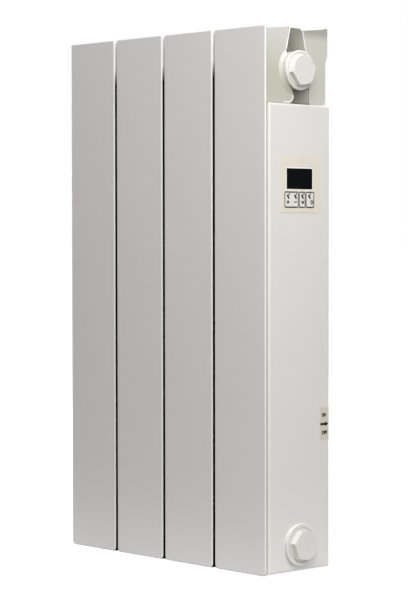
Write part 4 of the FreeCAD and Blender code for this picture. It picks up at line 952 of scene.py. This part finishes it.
def floor_white():
    """White floor that throws light up at the object's foot. Where it is seen it glows white, with a
    painted shade round the object that lets its shadow show, and a painted shadow under the block."""
    material, tree, shader = new_material("floor_white")
    shader.inputs["Base Color"].default_value = (*FLOOR_GREY, 1)
    shader.inputs["Roughness"].default_value = FLOOR_ROUGHNESS
    shader.inputs["Specular IOR Level"].default_value = FLOOR_SPECULAR
    place = split(tree, tree.nodes.new("ShaderNodeTexCoord").outputs["Object"])
    along, across = [past_edge(tree, place[axis], half) for axis, half in zip("XY", cad_box[1])]
    distance = highest(tree, along, across)
    bounced = glow(tree, remap(tree, distance, BOUNCE_REACH, (BOUNCE, 0.0)))
    shadow_catcher = tree.nodes.new("ShaderNodeBsdfDiffuse")
    shadow_catcher.inputs["Color"].default_value = (*3 * [SHADOW_DEPTH], 1)
    # Painted shadow under the block, away from its rim
    near_rim = highest(
        tree,
        ramp(tree, across, [-inset for inset in DARK_FROM_FACES]),
        ramp(tree, place["X"], [cad_box[0][0] + inset for inset in DARK_FROM_LEFT]),
        ramp(tree, place["X"], [cad_box[1][0] - inset for inset in DARK_FROM_RIGHT]),
    )
    # Painted shade round the object, fading out far from it
    open_floor = remap(tree, distance, SHADOW_REACH, (1 - SHADOW_DEPTH / 2, 1.0))
    shown = glow(tree, lowest(tree, near_rim, open_floor))
    mix_by_view(
        tree,
        added(tree, shader.outputs["BSDF"], bounced),
        added(tree, shadow_catcher.outputs["BSDF"], shown),
        tree.nodes["Material Output"].inputs["Surface"],
    )
    return material


def studio_floor():
    """Wide flat floor under the object."""
    mesh = bpy.data.meshes.new("floor")
    corners = [(x * FLOOR_REACH, y * FLOOR_REACH, 0) for x, y in ((-1, -1), (1, -1), (1, 1), (-1, 1))]
    mesh.from_pydata(corners, [], [(0, 1, 2, 3)])
    mesh.materials.append(floor_white())
    floor = bpy.data.objects.new("floor", mesh)
    bpy.context.scene.collection.objects.link(floor)


def studio_world():
    """Soft light from all round, white where it is seen."""
    world = bpy.data.worlds.new("studio")
    bpy.context.scene.world = world
    world.use_nodes = True
    tree = world.node_tree
    soft = tree.nodes["Background"]
    soft.inputs["Color"].default_value = (*SOFT_LIGHT, 1)
    soft.inputs["Strength"].default_value = WORLD_STRENGTH
    white = tree.nodes.new("ShaderNodeBackground")
    white.inputs["Color"].default_value = (1, 1, 1, 1)
    white.inputs["Strength"].default_value = 1.0
    output = tree.nodes["World Output"].inputs["Surface"]
    mix_by_view(tree, soft.outputs["Background"], white.outputs["Background"], output)


def softbox(name, place, target, size, power):
    """Rectangular lamp aimed at a point."""
    lamp = bpy.data.lights.new(name, "AREA")
    lamp.shape = "RECTANGLE"
    lamp.size, lamp.size_y = size
    lamp.energy = power
    holder = bpy.data.objects.new(name, lamp)
    bpy.context.scene.collection.objects.link(holder)
    holder.location = place
    holder.rotation_euler = (Vector(target) - Vector(place)).to_track_quat("-Z", "Y").to_euler()


studio_floor()
studio_world()
for name, lamp in SOFTBOXES.items():
    softbox(name, *lamp)


def photo_camera():
    """Long lens from the front right, over half the object's height."""
    data = bpy.data.cameras.new("photo_camera")
    data.lens = LENS
    data.sensor_width = SENSOR
    data.clip_end = CLIP_END
    camera = bpy.data.objects.new("photo_camera", data)
    block_front = Vector((middle_of("joint_gaskets")[0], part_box("section_1")[0][1], 0.0))
    camera.location = block_front + Vector(CAMERA_FROM_BLOCK)
    yaw = Matrix.Rotation(math.radians(CAMERA_YAW), 3, "Z")
    pitch = Matrix.Rotation(math.radians(90 - CAMERA_PITCH), 3, "X")
    roll = Matrix.Rotation(math.radians(CAMERA_ROLL), 3, "Z")
    camera.rotation_euler = (yaw @ pitch @ roll).to_euler()
    bpy.context.scene.collection.objects.link(camera)
    bpy.context.scene.camera = camera


photo_camera()
bpy.context.scene.view_settings.view_transform = "Standard"
